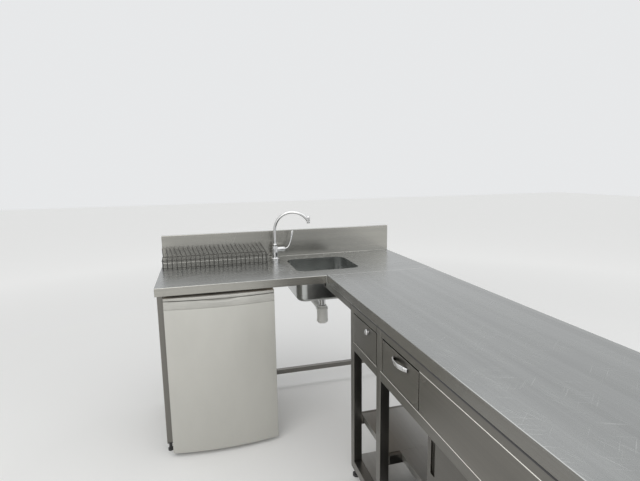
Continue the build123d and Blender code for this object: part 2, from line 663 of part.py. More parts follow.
save(tap_spout.part, "tap_spout")

# Lever: a bent rod with a rounded tip, rising from a hub on the valve
LEVER_PLANE = Plane(origin=(TAP_X + TAP_VALVE_REACH, TAP_Y, VALVE_Z), x_dir=(1, 0, 0), z_dir=(0, -1, 0))
HUB_PLANE = Plane(origin=LEVER_PLANE.origin, x_dir=(0, 1, 0), z_dir=(1, 0, 0))
with BuildPart() as tap_lever:
    prism(HUB_PLANE, TAP_VALVE_RADIUS, VALVE_SIDES, LEVER_HUB)
    with BuildLine(LEVER_PLANE, mode=Mode.PRIVATE) as lever_path:
        Polyline(*LEVER_BENDS)
    lever_start = Plane(origin=lever_path.line @ 0, z_dir=lever_path.line % 0)
    with BuildSketch(lever_start, mode=Mode.PRIVATE) as lever_section:
        RegularPolygon(LEVER_RADIUS, LEVER_SIDES)
    sweep(lever_section.sketch, path=lever_path.line, transition=Transition.RIGHT)
    lever_end = Plane(origin=lever_path.line @ 1, z_dir=lever_path.line % 1)
    prism(lever_end, LEVER_TIP_RADIUS, LEVER_SIDES, LEVER_TIP_LENGTH)
save(tap_lever.part, "tap_lever")

# Plate rack: each rib stands on the top and bends back over the middle wire
RIB_XS = [RACK_X0 + RIB_PITCH * rib for rib in range(RIB_COUNT)]
RIB_BACK = Vector(0, RACK_STEP, RACK_MID_HEIGHT - RACK_FRONT_HEIGHT)
with BuildPart() as rack_ribs:
    for x in RIB_XS:
        with BuildLine(mode=Mode.PRIVATE) as rib_path:
            Polyline(
                (x, RACK_FRONT, TOP_HEIGHT),
                (x, RACK_FRONT, TOP_HEIGHT + RACK_FRONT_HEIGHT),
                (x, RACK_MID, TOP_HEIGHT + RACK_MID_HEIGHT),
            )
        with BuildSketch(Plane(origin=rib_path.line @ 0, z_dir=(0, 0, 1)), mode=Mode.PRIVATE) as rib_section:
            RegularPolygon(WIRE, RIB_SIDES, major_radius=False)
        sweep(rib_section.sketch, path=rib_path.line, transition=Transition.RIGHT)
save(rack_ribs.part, "rack_ribs")

# Pins that go on from the ribs' back ends, each leaning to its own free end
PIN_RUN = Vector(-RIB_LEAN, RACK_STEP, RACK_TOP_HEIGHT - RACK_MID_HEIGHT)
with BuildPart() as rack_pins:
    for x in RIB_XS:
        pin_start = Plane(origin=(x, RACK_MID, TOP_HEIGHT + RACK_MID_HEIGHT), x_dir=(1, 0, 0), z_dir=RIB_BACK)
        with BuildSketch(pin_start) as pin_section:
            RegularPolygon(WIRE, RIB_SIDES, major_radius=False)
        extrude(pin_section.sketch, amount=PIN_RUN.length, dir=PIN_RUN.normalized())
save(rack_pins.part, "rack_pins")

# Long wires that tie the ribs, and the legs under the middle one. Each row is y, z.
RACK_LENGTH = RIB_PITCH * (RIB_COUNT - 1) + 2 * RACK_END
TIES = [
    (RACK_FRONT - 2 * WIRE, TOP_HEIGHT + TIE_LIFT),
    (RACK_FRONT - 2 * WIRE, TOP_HEIGHT + RACK_FRONT_HEIGHT - TIE_DROP),
    (RACK_MID, TOP_HEIGHT + RACK_MID_HEIGHT - 2 * WIRE - PIN_GAP),
]
with BuildPart() as rack_ties:
    for y, z in TIES:
        with BuildSketch(Plane(origin=(RACK_X0 - RACK_END, y, z), x_dir=(0, 1, 0), z_dir=(1, 0, 0))):
            RegularPolygon(WIRE, TIE_SIDES, major_radius=False, rotation=TIE_TURN)
        extrude(amount=RACK_LENGTH)
    for x in (RACK_X0 - RACK_END + WIRE, RACK_X0 - RACK_END + RACK_LENGTH - WIRE):
        with BuildSketch(Plane.XY.offset(TOP_HEIGHT)):
            with Locations((x, RACK_MID)):
                RegularPolygon(WIRE, TIE_SIDES, major_radius=False, rotation=TIE_TURN)
        extrude(amount=RACK_MID_HEIGHT - 2 * WIRE)
save(rack_ties.part, "rack_ties")

# Cradle plates that carry the drawers' channels, hung from the core
CRADLE_X1 = CRADLE_X0 + CRADLE_LENGTH
CRADLE_BOTTOM = BOX_FLOOR + CRADLE_LIFT
with BuildPart() as cradle_plates:
    for label, left, right in DRAWERS:
        for plate_y in (Y0 - left - CRADLE_SHEET, Y0 - right):
            block(CRADLE_X0, CRADLE_X1, plate_y, plate_y + CRADLE_SHEET, CRADLE_BOTTOM, CORE_BOTTOM)
save(cradle_plates.part, "cradle_plates")

# Channels on the plates, open towards the drawer
with BuildPart() as channels:
    for label, left, right in DRAWERS:
        for back, towards in ((Y0 - left - CRADLE_SHEET, -1), (Y0 - right + CRADLE_SHEET, 1)):
            with BuildSketch(Plane(origin=(CRADLE_X0, back, RUNNER_Z), x_dir=(0, towards, 0), z_dir=(1, 0, 0))):
                with Locations((CHANNEL_DEPTH / 2, 0)):
                    Rectangle(CHANNEL_DEPTH, CHANNEL_HEIGHT)
                with Locations((CHANNEL_DEPTH / 2 + CHANNEL_SHEET, 0)):
                    Rectangle(CHANNEL_DEPTH, CHANNEL_HEIGHT - 2 * CHANNEL_SHEET, mode=Mode.SUBTRACT)
            extrude(amount=CRADLE_LENGTH)
save(channels.part, "channels")

# Drawers: an inset front, a box open at the top, and a slider on each side
BOX_X0 = FRONT + FRONT_SHEET
BOX_X1 = BOX_X0 + BOX_DEPTH
SLIDE_HALF = CHANNEL_HEIGHT / 2 - CHANNEL_SHEET - SLIDER_GAP
SLIDE_REACH = RUNNER_SPACE - CHANNEL_SHEET - SLIDER_GAP
for label, left, right in DRAWERS:
    far = Y0 - left
    near = Y0 - right
    with BuildPart() as front:
        block(FRONT, FRONT + FRONT_DEPTH, near + DRAWER_GAP, far - DRAWER_GAP, FRONT_BOTTOM, FRONT_TOP)
        offset(amount=-FRONT_SHEET, openings=front.faces().sort_by(Axis.X)[-1])
    save(front.part, f"{label}_front")
    box_far = far - CRADLE_SHEET - RUNNER_SPACE
    box_near = near + CRADLE_SHEET + RUNNER_SPACE
    with BuildPart() as box:
        block(BOX_X0, BOX_X1, box_near, box_far, BOX_FLOOR, BOX_FLOOR + BOX_HEIGHT)
        offset(amount=-BOX_SHEET, openings=box.faces().sort_by(Axis.Z)[-1])
    save(box.part, f"{label}_box")
    with BuildPart() as sliders:
        block(CRADLE_X0, BOX_X1, box_far, box_far + SLIDE_REACH, RUNNER_Z - SLIDE_HALF, RUNNER_Z + SLIDE_HALF)
        block(CRADLE_X0, BOX_X1, box_near - SLIDE_REACH, box_near, RUNNER_Z - SLIDE_HALF, RUNNER_Z + SLIDE_HALF)
    save(sliders.part, f"{label}_sliders")

# Round knob on an octagonal neck, on the first drawer
KNOB_Y = Y0 - DRAWERS[0][1] - KNOB_FROM_EDGE
KNOB_PLANE = Plane(origin=(FRONT, KNOB_Y, FRONT_TOP - KNOB_DROP), x_dir=(0, 1, 0), z_dir=(-1, 0, 0))
with BuildPart() as drawer_a_knob:
    prism(KNOB_PLANE, KNOB_NECK_RADIUS, 8, KNOB_NECK)
    prism(KNOB_PLANE.offset(KNOB_NECK), KNOB_RADIUS, KNOB_SIDES, KNOB_HEAD)
save(drawer_a_knob.part, "drawer_a_knob")

# Bow handle on the second drawer
HANDLE_Y = Y0 - DRAWER_B_START - HANDLE_FROM_EDGE
HANDLE_PLANE = Plane(origin=(FRONT, HANDLE_Y, FRONT_TOP - HANDLE_DROP), x_dir=(0, 1, 0), z_dir=(0, 0, 1))
HANDLE_HALF = HANDLE_LENGTH / 2
HANDLE_FOOT = HANDLE_HALF - 2 * HANDLE_THICK
with BuildPart() as drawer_b_handle:
    with BuildSketch(HANDLE_PLANE.offset(-HANDLE_BAR / 2)):
        with BuildLine():
            ThreePointArc((-HANDLE_HALF, 0), (0, HANDLE_REACH), (HANDLE_HALF, 0))
            Line((HANDLE_HALF, 0), (HANDLE_FOOT, 0))
            ThreePointArc((HANDLE_FOOT, 0), (0, HANDLE_REACH - HANDLE_THICK), (-HANDLE_FOOT, 0))
            Line((-HANDLE_FOOT, 0), (-HANDLE_HALF, 0))
        make_face()
    extrude(amount=HANDLE_BAR)
save(drawer_b_handle.part, "drawer_b_handle")

# Fixed panel beside the second drawer, and the stile between post and drawer
with BuildPart() as panels_fixed:
    for y0, y1 in ((OPENING_NEAR, Y0 - DRAWER_B_END), (Y0 - DRAWER_B_START, OPENING_FAR)):
        block(FRONT, FRONT + FRONT_DEPTH, y0, y1, MID_RAIL_TOP, FRAME_TOP - TUBE)
    offset(amount=-FRONT_SHEET, openings=panels_fixed.faces().filter_by(Axis.X).group_by(Axis.X)[-1])
save(panels_fixed.part, "panels_fixed")

# Shelves with folded edges, resting on the cross rails. Each row is label, x0, far and near post.
SHELVES = [
    ("shelf_a", FRONT + TUBE + SHELF_FRONT_GAP, POST_1_Y, POST_2_Y),
    ("shelf_b", TRACK_FLANGES[-1] + SHELF_FRONT_GAP, POST_2_Y, END_POST_Y),
]
for label, x0, far, near in SHELVES:
    with BuildPart() as shelf:
        block(x0, SHELF_X1, near, far, SHELF_TOP - SHELF_SHEET, SHELF_TOP)
        for edge_x in (x0, SHELF_X1 - SHELF_SHEET):
            block(
                edge_x,
                edge_x + SHELF_SHEET,
                near + HALF,
                far - HALF,
                SHELF_TOP - SHELF_EDGE,
                SHELF_TOP - SHELF_SHEET,
            )
    save(shelf.part, label)

# Deck on the low rails
with BuildPart() as deck:
    block(CROSS_X0, REAR, END_POST_Y - HALF, POST_1_Y + HALF, DECK_TOP - DECK_SHEET, DECK_TOP)
save(deck.part, "deck")

# Double tracks for the sliding doors. Each row is label, level of the base, height of its flanges.
TRACKS = [
    ("track_low", DECK_TOP, TRACK_LOW_FLANGE),
    ("track_high", MID_RAIL_TOP, -TRACK_HIGH_FLANGE),
]
for label, base_z, flange in TRACKS:
    upward = 1 if flange > 0 else -1
    with BuildPart() as track:
        with BuildSketch(Plane(origin=(0, OPENING_NEAR, base_z), x_dir=(1, 0, 0), z_dir=(0, -1, 0))):
            with Locations(((TRACK_X0 + TRACK_X1) / 2, upward * TRACK_SHEET / 2)):
                Rectangle(TRACK_X1 - TRACK_X0, TRACK_SHEET)
            with Locations(*((x + TRACK_SHEET / 2, flange / 2) for x in TRACK_FLANGES)):
                Rectangle(TRACK_SHEET, abs(flange))
        extrude(amount=OPENING_NEAR - OPENING_FAR)
    save(track.part, label)

# Sliding doors: trays open at the back, with a finger pull and two glides. Each row is label,
# front plane, far edge, side of the pull.
DOORS = [
    ("door_far", DOOR_PLANE_1, OPENING_FAR - DOOR_REST_OPEN, 1),
    ("door_near", DOOR_PLANE_2, OPENING_NEAR + DOOR_END_GAP + DOOR_LENGTH, -1),
]
GLIDE_BOTTOM = DECK_TOP + TRACK_SHEET + RUN_GAP
for label, x0, far, pull_side in DOORS:
    near = far - DOOR_LENGTH
    pull_plane = Plane(
        origin=(x0, (far + near) / 2 + pull_side * (DOOR_LENGTH / 2 - PULL_INSET), PULL_Z),
        x_dir=(0, 1, 0),
        z_dir=(1, 0, 0),
    )
    with BuildPart() as door:
        block(x0, x0 + DOOR_THICK, near, far, DOOR_BOTTOM, DOOR_TOP)
        offset(amount=-DOOR_SHEET, openings=door.faces().sort_by(Axis.X)[-1])
        with BuildSketch(pull_plane):
            Rectangle(PULL_WIDTH + 2 * DOOR_SHEET, PULL_HEIGHT + 2 * DOOR_SHEET)
        extrude(amount=PULL_DEPTH + DOOR_SHEET)
        with BuildSketch(pull_plane):
            Rectangle(PULL_WIDTH, PULL_HEIGHT)
        extrude(amount=PULL_DEPTH, mode=Mode.SUBTRACT)
        for glide_y in (near, far - GLIDE_LENGTH):
            block(
                x0 + GLIDE_INSET,
                x0 + DOOR_THICK - GLIDE_INSET,
                glide_y,
                glide_y + GLIDE_LENGTH,
                GLIDE_BOTTOM,
                DOOR_BOTTOM,
            )
    save(door.part, label)

# Back and end panels of the cupboard
PANEL_BOTTOM = FOOT_HEIGHT + TUBE
PANEL_TOP = FRAME_TOP - TUBE
PANEL_X = REAR + TUBE - PANEL_SHEET
PANEL_Y = END_POST_Y - HALF
with BuildPart() as panel_back:
    for y0, y1 in SPANS:
        block(PANEL_X, PANEL_X + PANEL_SHEET, y0, y1, PANEL_BOTTOM, PANEL_TOP)
save(panel_back.part, "panel_back")
with BuildPart() as panel_end:
    for z0, z1 in ((DECK_TOP, SHELF_RAIL - HALF), (SHELF_TOP, PANEL_TOP)):
        block(CROSS_X0, REAR, PANEL_Y, PANEL_Y + PANEL_SHEET, z0, z1)
save(panel_end.part, "panel_end")

# Refrigerator cabinet: a painted shell open at the front, with a niche low at the back
with BuildPart() as fridge_cabinet:
    block(FRIDGE_X0, FRIDGE_X1, CABINET_FRONT, CABINET_BACK, FRIDGE_BOTTOM, CABINET_TOP)
    offset(amount=-CABINET_SKIN, openings=fridge_cabinet.faces().sort_by(Axis.Y)[0])
    for skin, mode in ((CABINET_SKIN, Mode.ADD), (0.0, Mode.SUBTRACT)):
        block(
            FRIDGE_X0 + CABINET_SKIN,
            FRIDGE_X1 - CABINET_SKIN,
            NICHE_Y0 - skin,
            CABINET_BACK,
            FRIDGE_BOTTOM,
            NICHE_TOP + skin,
            mode=mode,
        )
save(fridge_cabinet.part, "fridge_cabinet")

# Inner liner: a stepped tub with rounded corners, whose flange meets the shell's front edge
with BuildPart() as fridge_liner:
    for skin, mode in ((LINER_SKIN, Mode.ADD), (0.0, Mode.SUBTRACT)):
        with BuildSketch(Plane(origin=(LINER_X0 - skin, 0, 0), x_dir=(0, 1, 0), z_dir=(1, 0, 0))):
            with BuildLine() as tub:
                FilletPolyline(
                    (CABINET_FRONT, LINER_Z0 - skin),
                    (STEP_Y + skin, LINER_Z0 - skin),
                    (STEP_Y + skin, STEP_Z - skin),
                    (LINER_Y1 + skin, STEP_Z - skin),
                    (LINER_Y1 + skin, LINER_Z1 + skin),
                    (CABINET_FRONT, LINER_Z1 + skin),
                    radius=LINER_CORNER,
                )
                Line(tub.line @ 1, tub.line @ 0)
            make_face()
        extrude(amount=LINER_X1 - LINER_X0 + 2 * skin, mode=mode)
    with BuildSketch(Plane.XZ.offset(-CABINET_FRONT)):
        with Locations((FRIDGE_MIDDLE, (FRIDGE_BOTTOM + CABINET_TOP) / 2)):
            Rectangle(FRIDGE_WIDTH - 2 * CABINET_SKIN, CABINET_TOP - FRIDGE_BOTTOM - 2 * CABINET_SKIN)
        with Locations((FRIDGE_MIDDLE, (LINER_Z0 + LINER_Z1) / 2)):
            Rectangle(LINER_X1 - LINER_X0, LINER_Z1 - LINER_Z0, mode=Mode.SUBTRACT)
    extrude(amount=-LINER_SKIN)
save(fridge_liner.part, "fridge_liner")

# Lid of the refrigerator, level with the door's front
with BuildPart() as fridge_lid:
    extrude(bowed_plan(CABINET_TOP, 0.0, CABINET_BACK), amount=LID)
    chamfer(fridge_lid.faces().sort_by(Axis.Z)[-1].edges(), LID_EDGE)
save(fridge_lid.part, "fridge_lid")

# Door skin: a bowed tray, open at the back
with BuildPart() as fridge_door:
    extrude(bowed_plan(FRIDGE_BOTTOM, 0.0, DOOR_BACK), amount=STRIP_Z0 - FRIDGE_BOTTOM)
    extrude(
        bowed_plan(FRIDGE_BOTTOM + DOOR_SKIN, DOOR_SKIN, DOOR_BACK),
        amount=STRIP_Z0 - FRIDGE_BOTTOM - 2 * DOOR_SKIN,
        mode=Mode.SUBTRACT,
    )
    disc(HINGE_X, HINGE_Y, FRIDGE_BOTTOM, HINGE_PIN + PIN_GAP, DOOR_SKIN, mode=Mode.SUBTRACT)
save(fridge_door.part, "fridge_door")

# Moulded strip on the door skin, standing on a fine groove, with a scoop sliced by a wide cylinder
SCOOP_OUT = (SCOOP_RADIUS - GRIP_DEPTH) * cos(radians(GRIP_SLOPE))
SCOOP_MIDDLE = (FRIDGE_MIDDLE, FRIDGE_FRONT - DOOR_BOW - SCOOP_OUT, DOOR_TOP_EDGE + SCOOP_OUT)
with BuildPart() as fridge_door_trim:
    extrude(bowed_plan(STRIP_Z0, GROOVE_DEPTH, DOOR_BACK), amount=GROOVE)
    extrude(bowed_plan(STRIP_Z0 + GROOVE, 0.0, DOOR_BACK), amount=STRIP - GROOVE)
    with Locations(Location(SCOOP_MIDDLE, (-GRIP_SLOPE, 0, 0))):
        Cylinder(SCOOP_RADIUS, 4 * STRIP, mode=Mode.SUBTRACT)
    disc(HINGE_X, HINGE_Y, DOOR_TOP_EDGE, HINGE_PIN + PIN_GAP, -PIN_HOLE, mode=Mode.SUBTRACT)
save(fridge_door_trim.part, "fridge_door_trim")

# Door lining: a plate behind the skin and a raised panel
with BuildPart() as door_lining:
    block(
        FRIDGE_X0 + DOOR_SKIN,
        FRIDGE_X1 - DOOR_SKIN,
        DOOR_BACK - LINER_SKIN,
        DOOR_BACK,
        FRIDGE_BOTTOM + DOOR_SKIN,
        STRIP_Z0 - DOOR_SKIN,
    )
    block(
        LINING_X0,
        LINING_X1,
        DOOR_BACK,
        CABINET_FRONT,
        LINER_Z0 + PANEL_MARGIN,
        LINER_Z1 - PANEL_MARGIN,
    )
save(door_lining.part, "fridge_door_lining")

# Bins on the lining, open at the top and against the panel
with BuildPart() as door_bins:
    for level in BIN_LEVELS:
        bin_z = LINER_Z0 + level
        block(LINING_X0, BIN_X1, CABINET_FRONT, CABINET_FRONT + BIN_DEPTH, bin_z, bin_z + BIN_HEIGHT)
        block(
            LINING_X0 + LINER_SKIN,
            BIN_X1 - LINER_SKIN,
            CABINET_FRONT,
            CABINET_FRONT + BIN_DEPTH - LINER_SKIN,
            bin_z + LINER_SKIN,
            bin_z + BIN_HEIGHT,
            mode=Mode.SUBTRACT,
        )
save(door_bins.part, "fridge_door_bins")

# Gasket round the back of the door
GASKET_SPAN = FRIDGE_WIDTH - 2 * GASKET_INSET
GASKET_RISE = DOOR_TOP_EDGE - FRIDGE_BOTTOM - 2 * GASKET_INSET
with BuildPart() as gasket:
    with BuildSketch(Plane.XZ.offset(-DOOR_BACK)):
        with Locations((FRIDGE_MIDDLE, (FRIDGE_BOTTOM + DOOR_TOP_EDGE) / 2)):
            Rectangle(GASKET_SPAN, GASKET_RISE)
            Rectangle(GASKET_SPAN - 2 * GASKET_WIDTH, GASKET_RISE - 2 * GASKET_WIDTH, mode=Mode.SUBTRACT)
    extrude(amount=RUN_GAP - GASKET)
save(gasket.part, "fridge_gasket")

# Glass shelves on the liner, and the crisper in front of the step
with BuildPart() as fridge_shelves:
    for level in FRIDGE_SHELVES:
        shelf_z = LINER_Z0 + level
        block(LINER_X0, LINER_X1, FRIDGE_SHELF_Y0, LINER_Y1, shelf_z, shelf_z + SHELF_GLASS)
save(fridge_shelves.part, "fridge_shelves")
with BuildPart() as crisper:
    block(
        LINER_X0 + CRISPER_GAP,
        LINER_X1 - CRISPER_GAP,
        FRIDGE_SHELF_Y0,
        STEP_Y - LINER_CORNER,
        LINER_Z0,
        LINER_Z0 + CRISPER_HEIGHT,
    )
    offset(amount=-LINER_SKIN, openings=crisper.faces().sort_by(Axis.Z)[-1])
save(crisper.part, "fridge_crisper")

# Hinges: a bracket under the door, spaced off the shell, and a pin at each end of the door
BRACKET_X0 = FRIDGE_X0 + BRACKET_INSET
BRACKET_X1 = BRACKET_X0 + BRACKET_WIDTH
BRACKET_Y1 = CABINET_FRONT + BRACKET_WIDTH
BRACKET_TOP = FRIDGE_BOTTOM - BRACKET_SPACER
with BuildPart() as fridge_hinges:
    block(BRACKET_X0, BRACKET_X1, HINGE_Y - BRACKET_NOSE, BRACKET_Y1, BRACKET_TOP - BRACKET_SHEET, BRACKET_TOP)
    block(BRACKET_X0, BRACKET_X1, CABINET_FRONT, BRACKET_Y1, BRACKET_TOP, FRIDGE_BOTTOM)
    disc(HINGE_X, HINGE_Y, BRACKET_TOP, HINGE_PIN, PIN_LENGTH - BRACKET_SHEET)
    disc(HINGE_X, HINGE_Y, CABINET_TOP, HINGE_PIN, -PIN_LENGTH)
save(fridge_hinges.part, "fridge_hinges")

# Plates that fix the cabinet to the slim post beside it
with BuildPart() as fridge_fixings:
    for z in FIXING_LEVELS:
        block(
            SLIM_X + SLIM_HALF,
            FRIDGE_X0,
            SLIM_FRONT_Y - SLIM_HALF,
            SLIM_FRONT_Y + SLIM_HALF,
            z,
            z + FIXING_HEIGHT,
        )
save(fridge_fixings.part, "fridge_fixings")

# Refrigerator feet, hexagonal for a spanner
FRIDGE_FOOT_X = (FRIDGE_X0 + FRIDGE_FOOT_INSETS[0], FRIDGE_X1 - FRIDGE_FOOT_INSETS[1])
FRIDGE_FOOT_Y = (CABINET_FRONT + FRIDGE_FOOT_SETBACKS[0], NICHE_Y0 - FRIDGE_FOOT_SETBACKS[1])
with BuildPart() as fridge_feet:
    with BuildSketch(Plane.XY):
        with Locations(*((x, y) for x in FRIDGE_FOOT_X for y in FRIDGE_FOOT_Y)):
            RegularPolygon(FRIDGE_FOOT, 6)
    extrude(amount=FRIDGE_BOTTOM)
save(fridge_feet.part, "fridge_feet")

# Compressor on its tray in the niche, and the condenser grid up the back
TRAY_TOP = FRIDGE_BOTTOM + TRAY_SHEET
with BuildPart() as compressor:
    block(
        FRIDGE_X0 + CABINET_SKIN,
        FRIDGE_X1 - CABINET_SKIN,
        NICHE_Y0,
        CABINET_BACK - TRAY_SHEET,
        FRIDGE_BOTTOM,
        TRAY_TOP,
    )
    can = Plane((FRIDGE_MIDDLE + COMPRESSOR_OFFSET, NICHE_Y0 + COMPRESSOR_SETBACK, TRAY_TOP))
    can_height = COMPRESSOR_HEIGHT - COMPRESSOR_CAP
    prism(can, COMPRESSOR_RADIUS, COMPRESSOR_SIDES, can_height)
    prism(can.offset(can_height), COMPRESSOR_RADIUS - COMPRESSOR_CAP_INSET, COMPRESSOR_SIDES, COMPRESSOR_CAP)
save(compressor.part, "fridge_compressor")
CONDENSER_Y0 = CABINET_BACK + CONDENSER_STANDOFF
CONDENSER_Z0 = NICHE_TOP + CONDENSER_LIFT
CONDENSER_Z1 = CONDENSER_Z0 + (CONDENSER_ROWS - 1) * CONDENSER_PITCH + CONDENSER_WIRE
STAY_OUT = CONDENSER_INSET + STAY_INSET
with BuildPart() as condenser:
    for row in range(CONDENSER_ROWS):
        z = CONDENSER_Z0 + row * CONDENSER_PITCH
        block(
            FRIDGE_X0 + CONDENSER_INSET,
            FRIDGE_X1 - CONDENSER_INSET,
            CONDENSER_Y0,
            CONDENSER_Y0 + CONDENSER_WIRE,
            z,
            z + CONDENSER_WIRE,
        )
    for x in (FRIDGE_X0 + STAY_OUT, FRIDGE_X1 - STAY_OUT - CONDENSER_WIRE):
        block(x, x + CONDENSER_WIRE, CABINET_BACK, CONDENSER_Y0, CONDENSER_Z0, CONDENSER_Z1)
save(condenser.part, "fridge_condenser")
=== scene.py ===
"""Looks of the galley counter: finishes, bent wire, tap, sink, pulls, light and camera.

Lengths are in metres. A profile that is turned on a lathe is in millimetres, as (radius, height).
"""

import json
from math import cos, exp, pi, radians, sin, tan

import bmesh
import bpy
from mathutils import Matrix, Vector


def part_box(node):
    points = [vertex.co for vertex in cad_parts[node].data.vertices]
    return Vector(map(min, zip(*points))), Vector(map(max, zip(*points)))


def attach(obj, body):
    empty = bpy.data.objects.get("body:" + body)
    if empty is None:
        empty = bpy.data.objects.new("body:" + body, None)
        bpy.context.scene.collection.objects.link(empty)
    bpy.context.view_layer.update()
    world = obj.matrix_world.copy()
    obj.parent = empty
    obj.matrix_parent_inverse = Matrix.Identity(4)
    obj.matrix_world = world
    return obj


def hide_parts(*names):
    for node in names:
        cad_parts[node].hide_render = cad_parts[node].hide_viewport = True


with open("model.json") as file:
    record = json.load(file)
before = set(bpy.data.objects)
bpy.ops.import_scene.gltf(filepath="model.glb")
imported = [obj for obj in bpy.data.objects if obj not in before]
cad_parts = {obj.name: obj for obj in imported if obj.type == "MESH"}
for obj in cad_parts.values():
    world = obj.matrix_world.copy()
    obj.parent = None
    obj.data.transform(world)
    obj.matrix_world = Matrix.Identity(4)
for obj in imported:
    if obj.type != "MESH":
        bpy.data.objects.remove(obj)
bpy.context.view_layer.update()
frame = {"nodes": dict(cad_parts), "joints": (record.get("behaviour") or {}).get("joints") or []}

MM = 0.001
JOINTS = {joint["name"]: joint for joint in frame["joints"]}

# Corners of the counter, read from the frame
BACK_LO, BACK_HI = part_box("worktop_back")
SERVE_LO, SERVE_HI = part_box("worktop_serving")
TOP = SERVE_HI.z
CORNER_X = SERVE_LO.x
CORNER_Y = BACK_LO.y


# Shader helpers

# A colour mix's sockets, among those that it has for other kinds of value
MIX_COLORS = (6, 7)
MIX_RESULT = 2


def new_material(name, color, roughness, metallic=0.0, **sockets):
    """A material with its constant values on the shader's own sockets."""
    material = bpy.data.materials.new(name)
    material.use_nodes = True
    shader = material.node_tree.nodes["Principled BSDF"]
    shader.inputs["Base Color"].default_value = (*color, 1.0)
    shader.inputs["Roughness"].default_value = roughness
    shader.inputs["Metallic"].default_value = metallic
    for socket, value in sockets.items():
        shader.inputs[socket.replace("_", " ")].default_value = value
    return material, material.node_tree, shader


def noise(
    tree, scale, stretch=(1.0, 1.0, 1.0), detail=3.0, roughness=0.5, distortion=0.0, shift=(0.0, 0.0, 0.0)
):
    """Noise over the object's own metres, stretched along the axes."""
    place = tree.nodes.new("ShaderNodeTexCoord")
    mapping = tree.nodes.new("ShaderNodeMapping")
    mapping.inputs["Scale"].default_value = stretch
    mapping.inputs["Location"].default_value = shift
    tree.links.new(place.outputs["Object"], mapping.inputs["Vector"])
    texture = tree.nodes.new("ShaderNodeTexNoise")
    texture.inputs["Scale"].default_value = scale
    texture.inputs["Detail"].default_value = detail
    texture.inputs["Roughness"].default_value = roughness
    texture.inputs["Distortion"].default_value = distortion
    tree.links.new(mapping.outputs["Vector"], texture.inputs["Vector"])
    return texture.outputs["Fac"]


def spread(tree, value, low, high, start=0.3, end=0.7):
    """A value mapped from start..end to low..high."""
    node = tree.nodes.new("ShaderNodeMapRange")
    node.inputs["From Min"].default_value = start
    node.inputs["From Max"].default_value = end
    node.inputs["To Min"].default_value = low
    node.inputs["To Max"].default_value = high
    tree.links.new(value, node.inputs["Value"])
    return node.outputs["Result"]


def blend_colors(tree, value, first, second):
    """A colour between first and second, by a value from 0 to 1. Each is a colour or an output."""
    node = tree.nodes.new("ShaderNodeMix")
    node.data_type = "RGBA"
    tree.links.new(value, node.inputs["Factor"])
    for index, color in zip(MIX_COLORS, (first, second)):
        if isinstance(color, tuple):
            node.inputs[index].default_value = (*color, 1.0)
        else:
            tree.links.new(color, node.inputs[index])
    return node.outputs[MIX_RESULT]


def combine(tree, operation, first, second):
    """A math node on two values, each a number or an output."""
    node = tree.nodes.new("ShaderNodeMath")
    node.operation = operation
    for socket, value in zip(node.inputs, (first, second)):
        if isinstance(value, (int, float)):
            socket.default_value = value
        else:
            tree.links.new(value, socket)
    return node.outputs[0]


def add_bump(tree, shader, height, strength, distance):
    """Bump from a height, put before whatever already feeds the shader's normal."""
    node = tree.nodes.new("ShaderNodeBump")
    node.inputs["Strength"].default_value = strength
    node.inputs["Distance"].default_value = distance
    tree.links.new(height, node.inputs["Height"])
    if shader.inputs["Normal"].is_linked:
        tree.links.new(shader.inputs["Normal"].links[0].from_socket, node.inputs["Normal"])
    tree.links.new(node.outputs["Normal"], shader.inputs["Normal"])


def shade(color, factor):
    """A colour made darker or lighter."""
    return tuple(channel * factor for channel in color)


def shaded(tree, value, color, dark, light):
    """A colour that a value from 0 to 1 takes from a dark to a light shade of it."""
    return blend_colors(tree, value, shade(color, dark), shade(color, light))


def vary_roughness(tree, shader, value, roughness, less, more):
    """Lets a noise drift the shader's roughness."""
    tree.links.new(spread(tree, value, roughness - less, roughness + more), shader.inputs["Roughness"])


# Brushed steel

BRUSH_ALONG = {"x": (0.012, 1.0, 1.0), "y": (1.0, 0.012, 1.0), "z": (1.0, 1.0, 0.012)}
FINE_BRUSHING = 1500.0
COARSE_BRUSHING = 300.0
STREAKS = 26.0
WIPE_MARKS = 2.6
STREAK_DARK = 0.93
STREAK_LIGHT = 1.05
GROOVE_SHADE = 0.8
GROOVE_SHARE = 0.3
GROOVE_LIMITS = (0.4, 0.75)
MASK_SAMPLES = 6

# Painted highlight on edges: the limits are cosines between the rounded and the flat normal
EDGE_RADIUS = 2.2 * MM
EDGE_LIMITS = (0.9, 0.995)

# Painted shade in seams and inner corners, from ambient occlusion
SEAM_DEPTH = 12.0 * MM
SEAM_LIMITS = (0.3, 0.85)
SEAM_PAINTED_SHADE = (0.035, 0.032, 0.028)
SEAM_SHADE_SHARE = 0.75

# Upward part of the normal, from an upright face to a level one
LEVEL_LIMITS = (0.5, 0.9)

# Scratches: the turn in degrees and the shift of each run, then their slimness and how few there are
SCRATCH_RUNS = ((24, (0, 0, 0)), (-38, (2, 5, 0)), (71, (7, 1, 0)))
SCRATCH_CELLS = (6.0, 230.0, 230.0)
SCRATCH_LIMITS = (0.1, 0.24)
CHANCE_LIMITS = (0.45, 0.9)
SCRATCH_ROUGHNESS = 0.14
SCRATCH_SHARE = 0.36
SCRATCH_SHADE = 1.3


def edge_mask(tree):
    """1 where a surface turns over an edge, 0 on the flat: the mask of the painted highlight."""
    rounded = tree.nodes.new("ShaderNodeBevel")
    rounded.samples = MASK_SAMPLES
    rounded.inputs["Radius"].default_value = EDGE_RADIUS
    flat = tree.nodes.new("ShaderNodeNewGeometry")
    agree = tree.nodes.new("ShaderNodeVectorMath")
    agree.operation = "DOT_PRODUCT"
    tree.links.new(rounded.outputs["Normal"], agree.inputs[0])
    tree.links.new(flat.outputs["Normal"], agree.inputs[1])
    return spread(tree, agree.outputs["Value"], 1.0, 0.0, *EDGE_LIMITS)


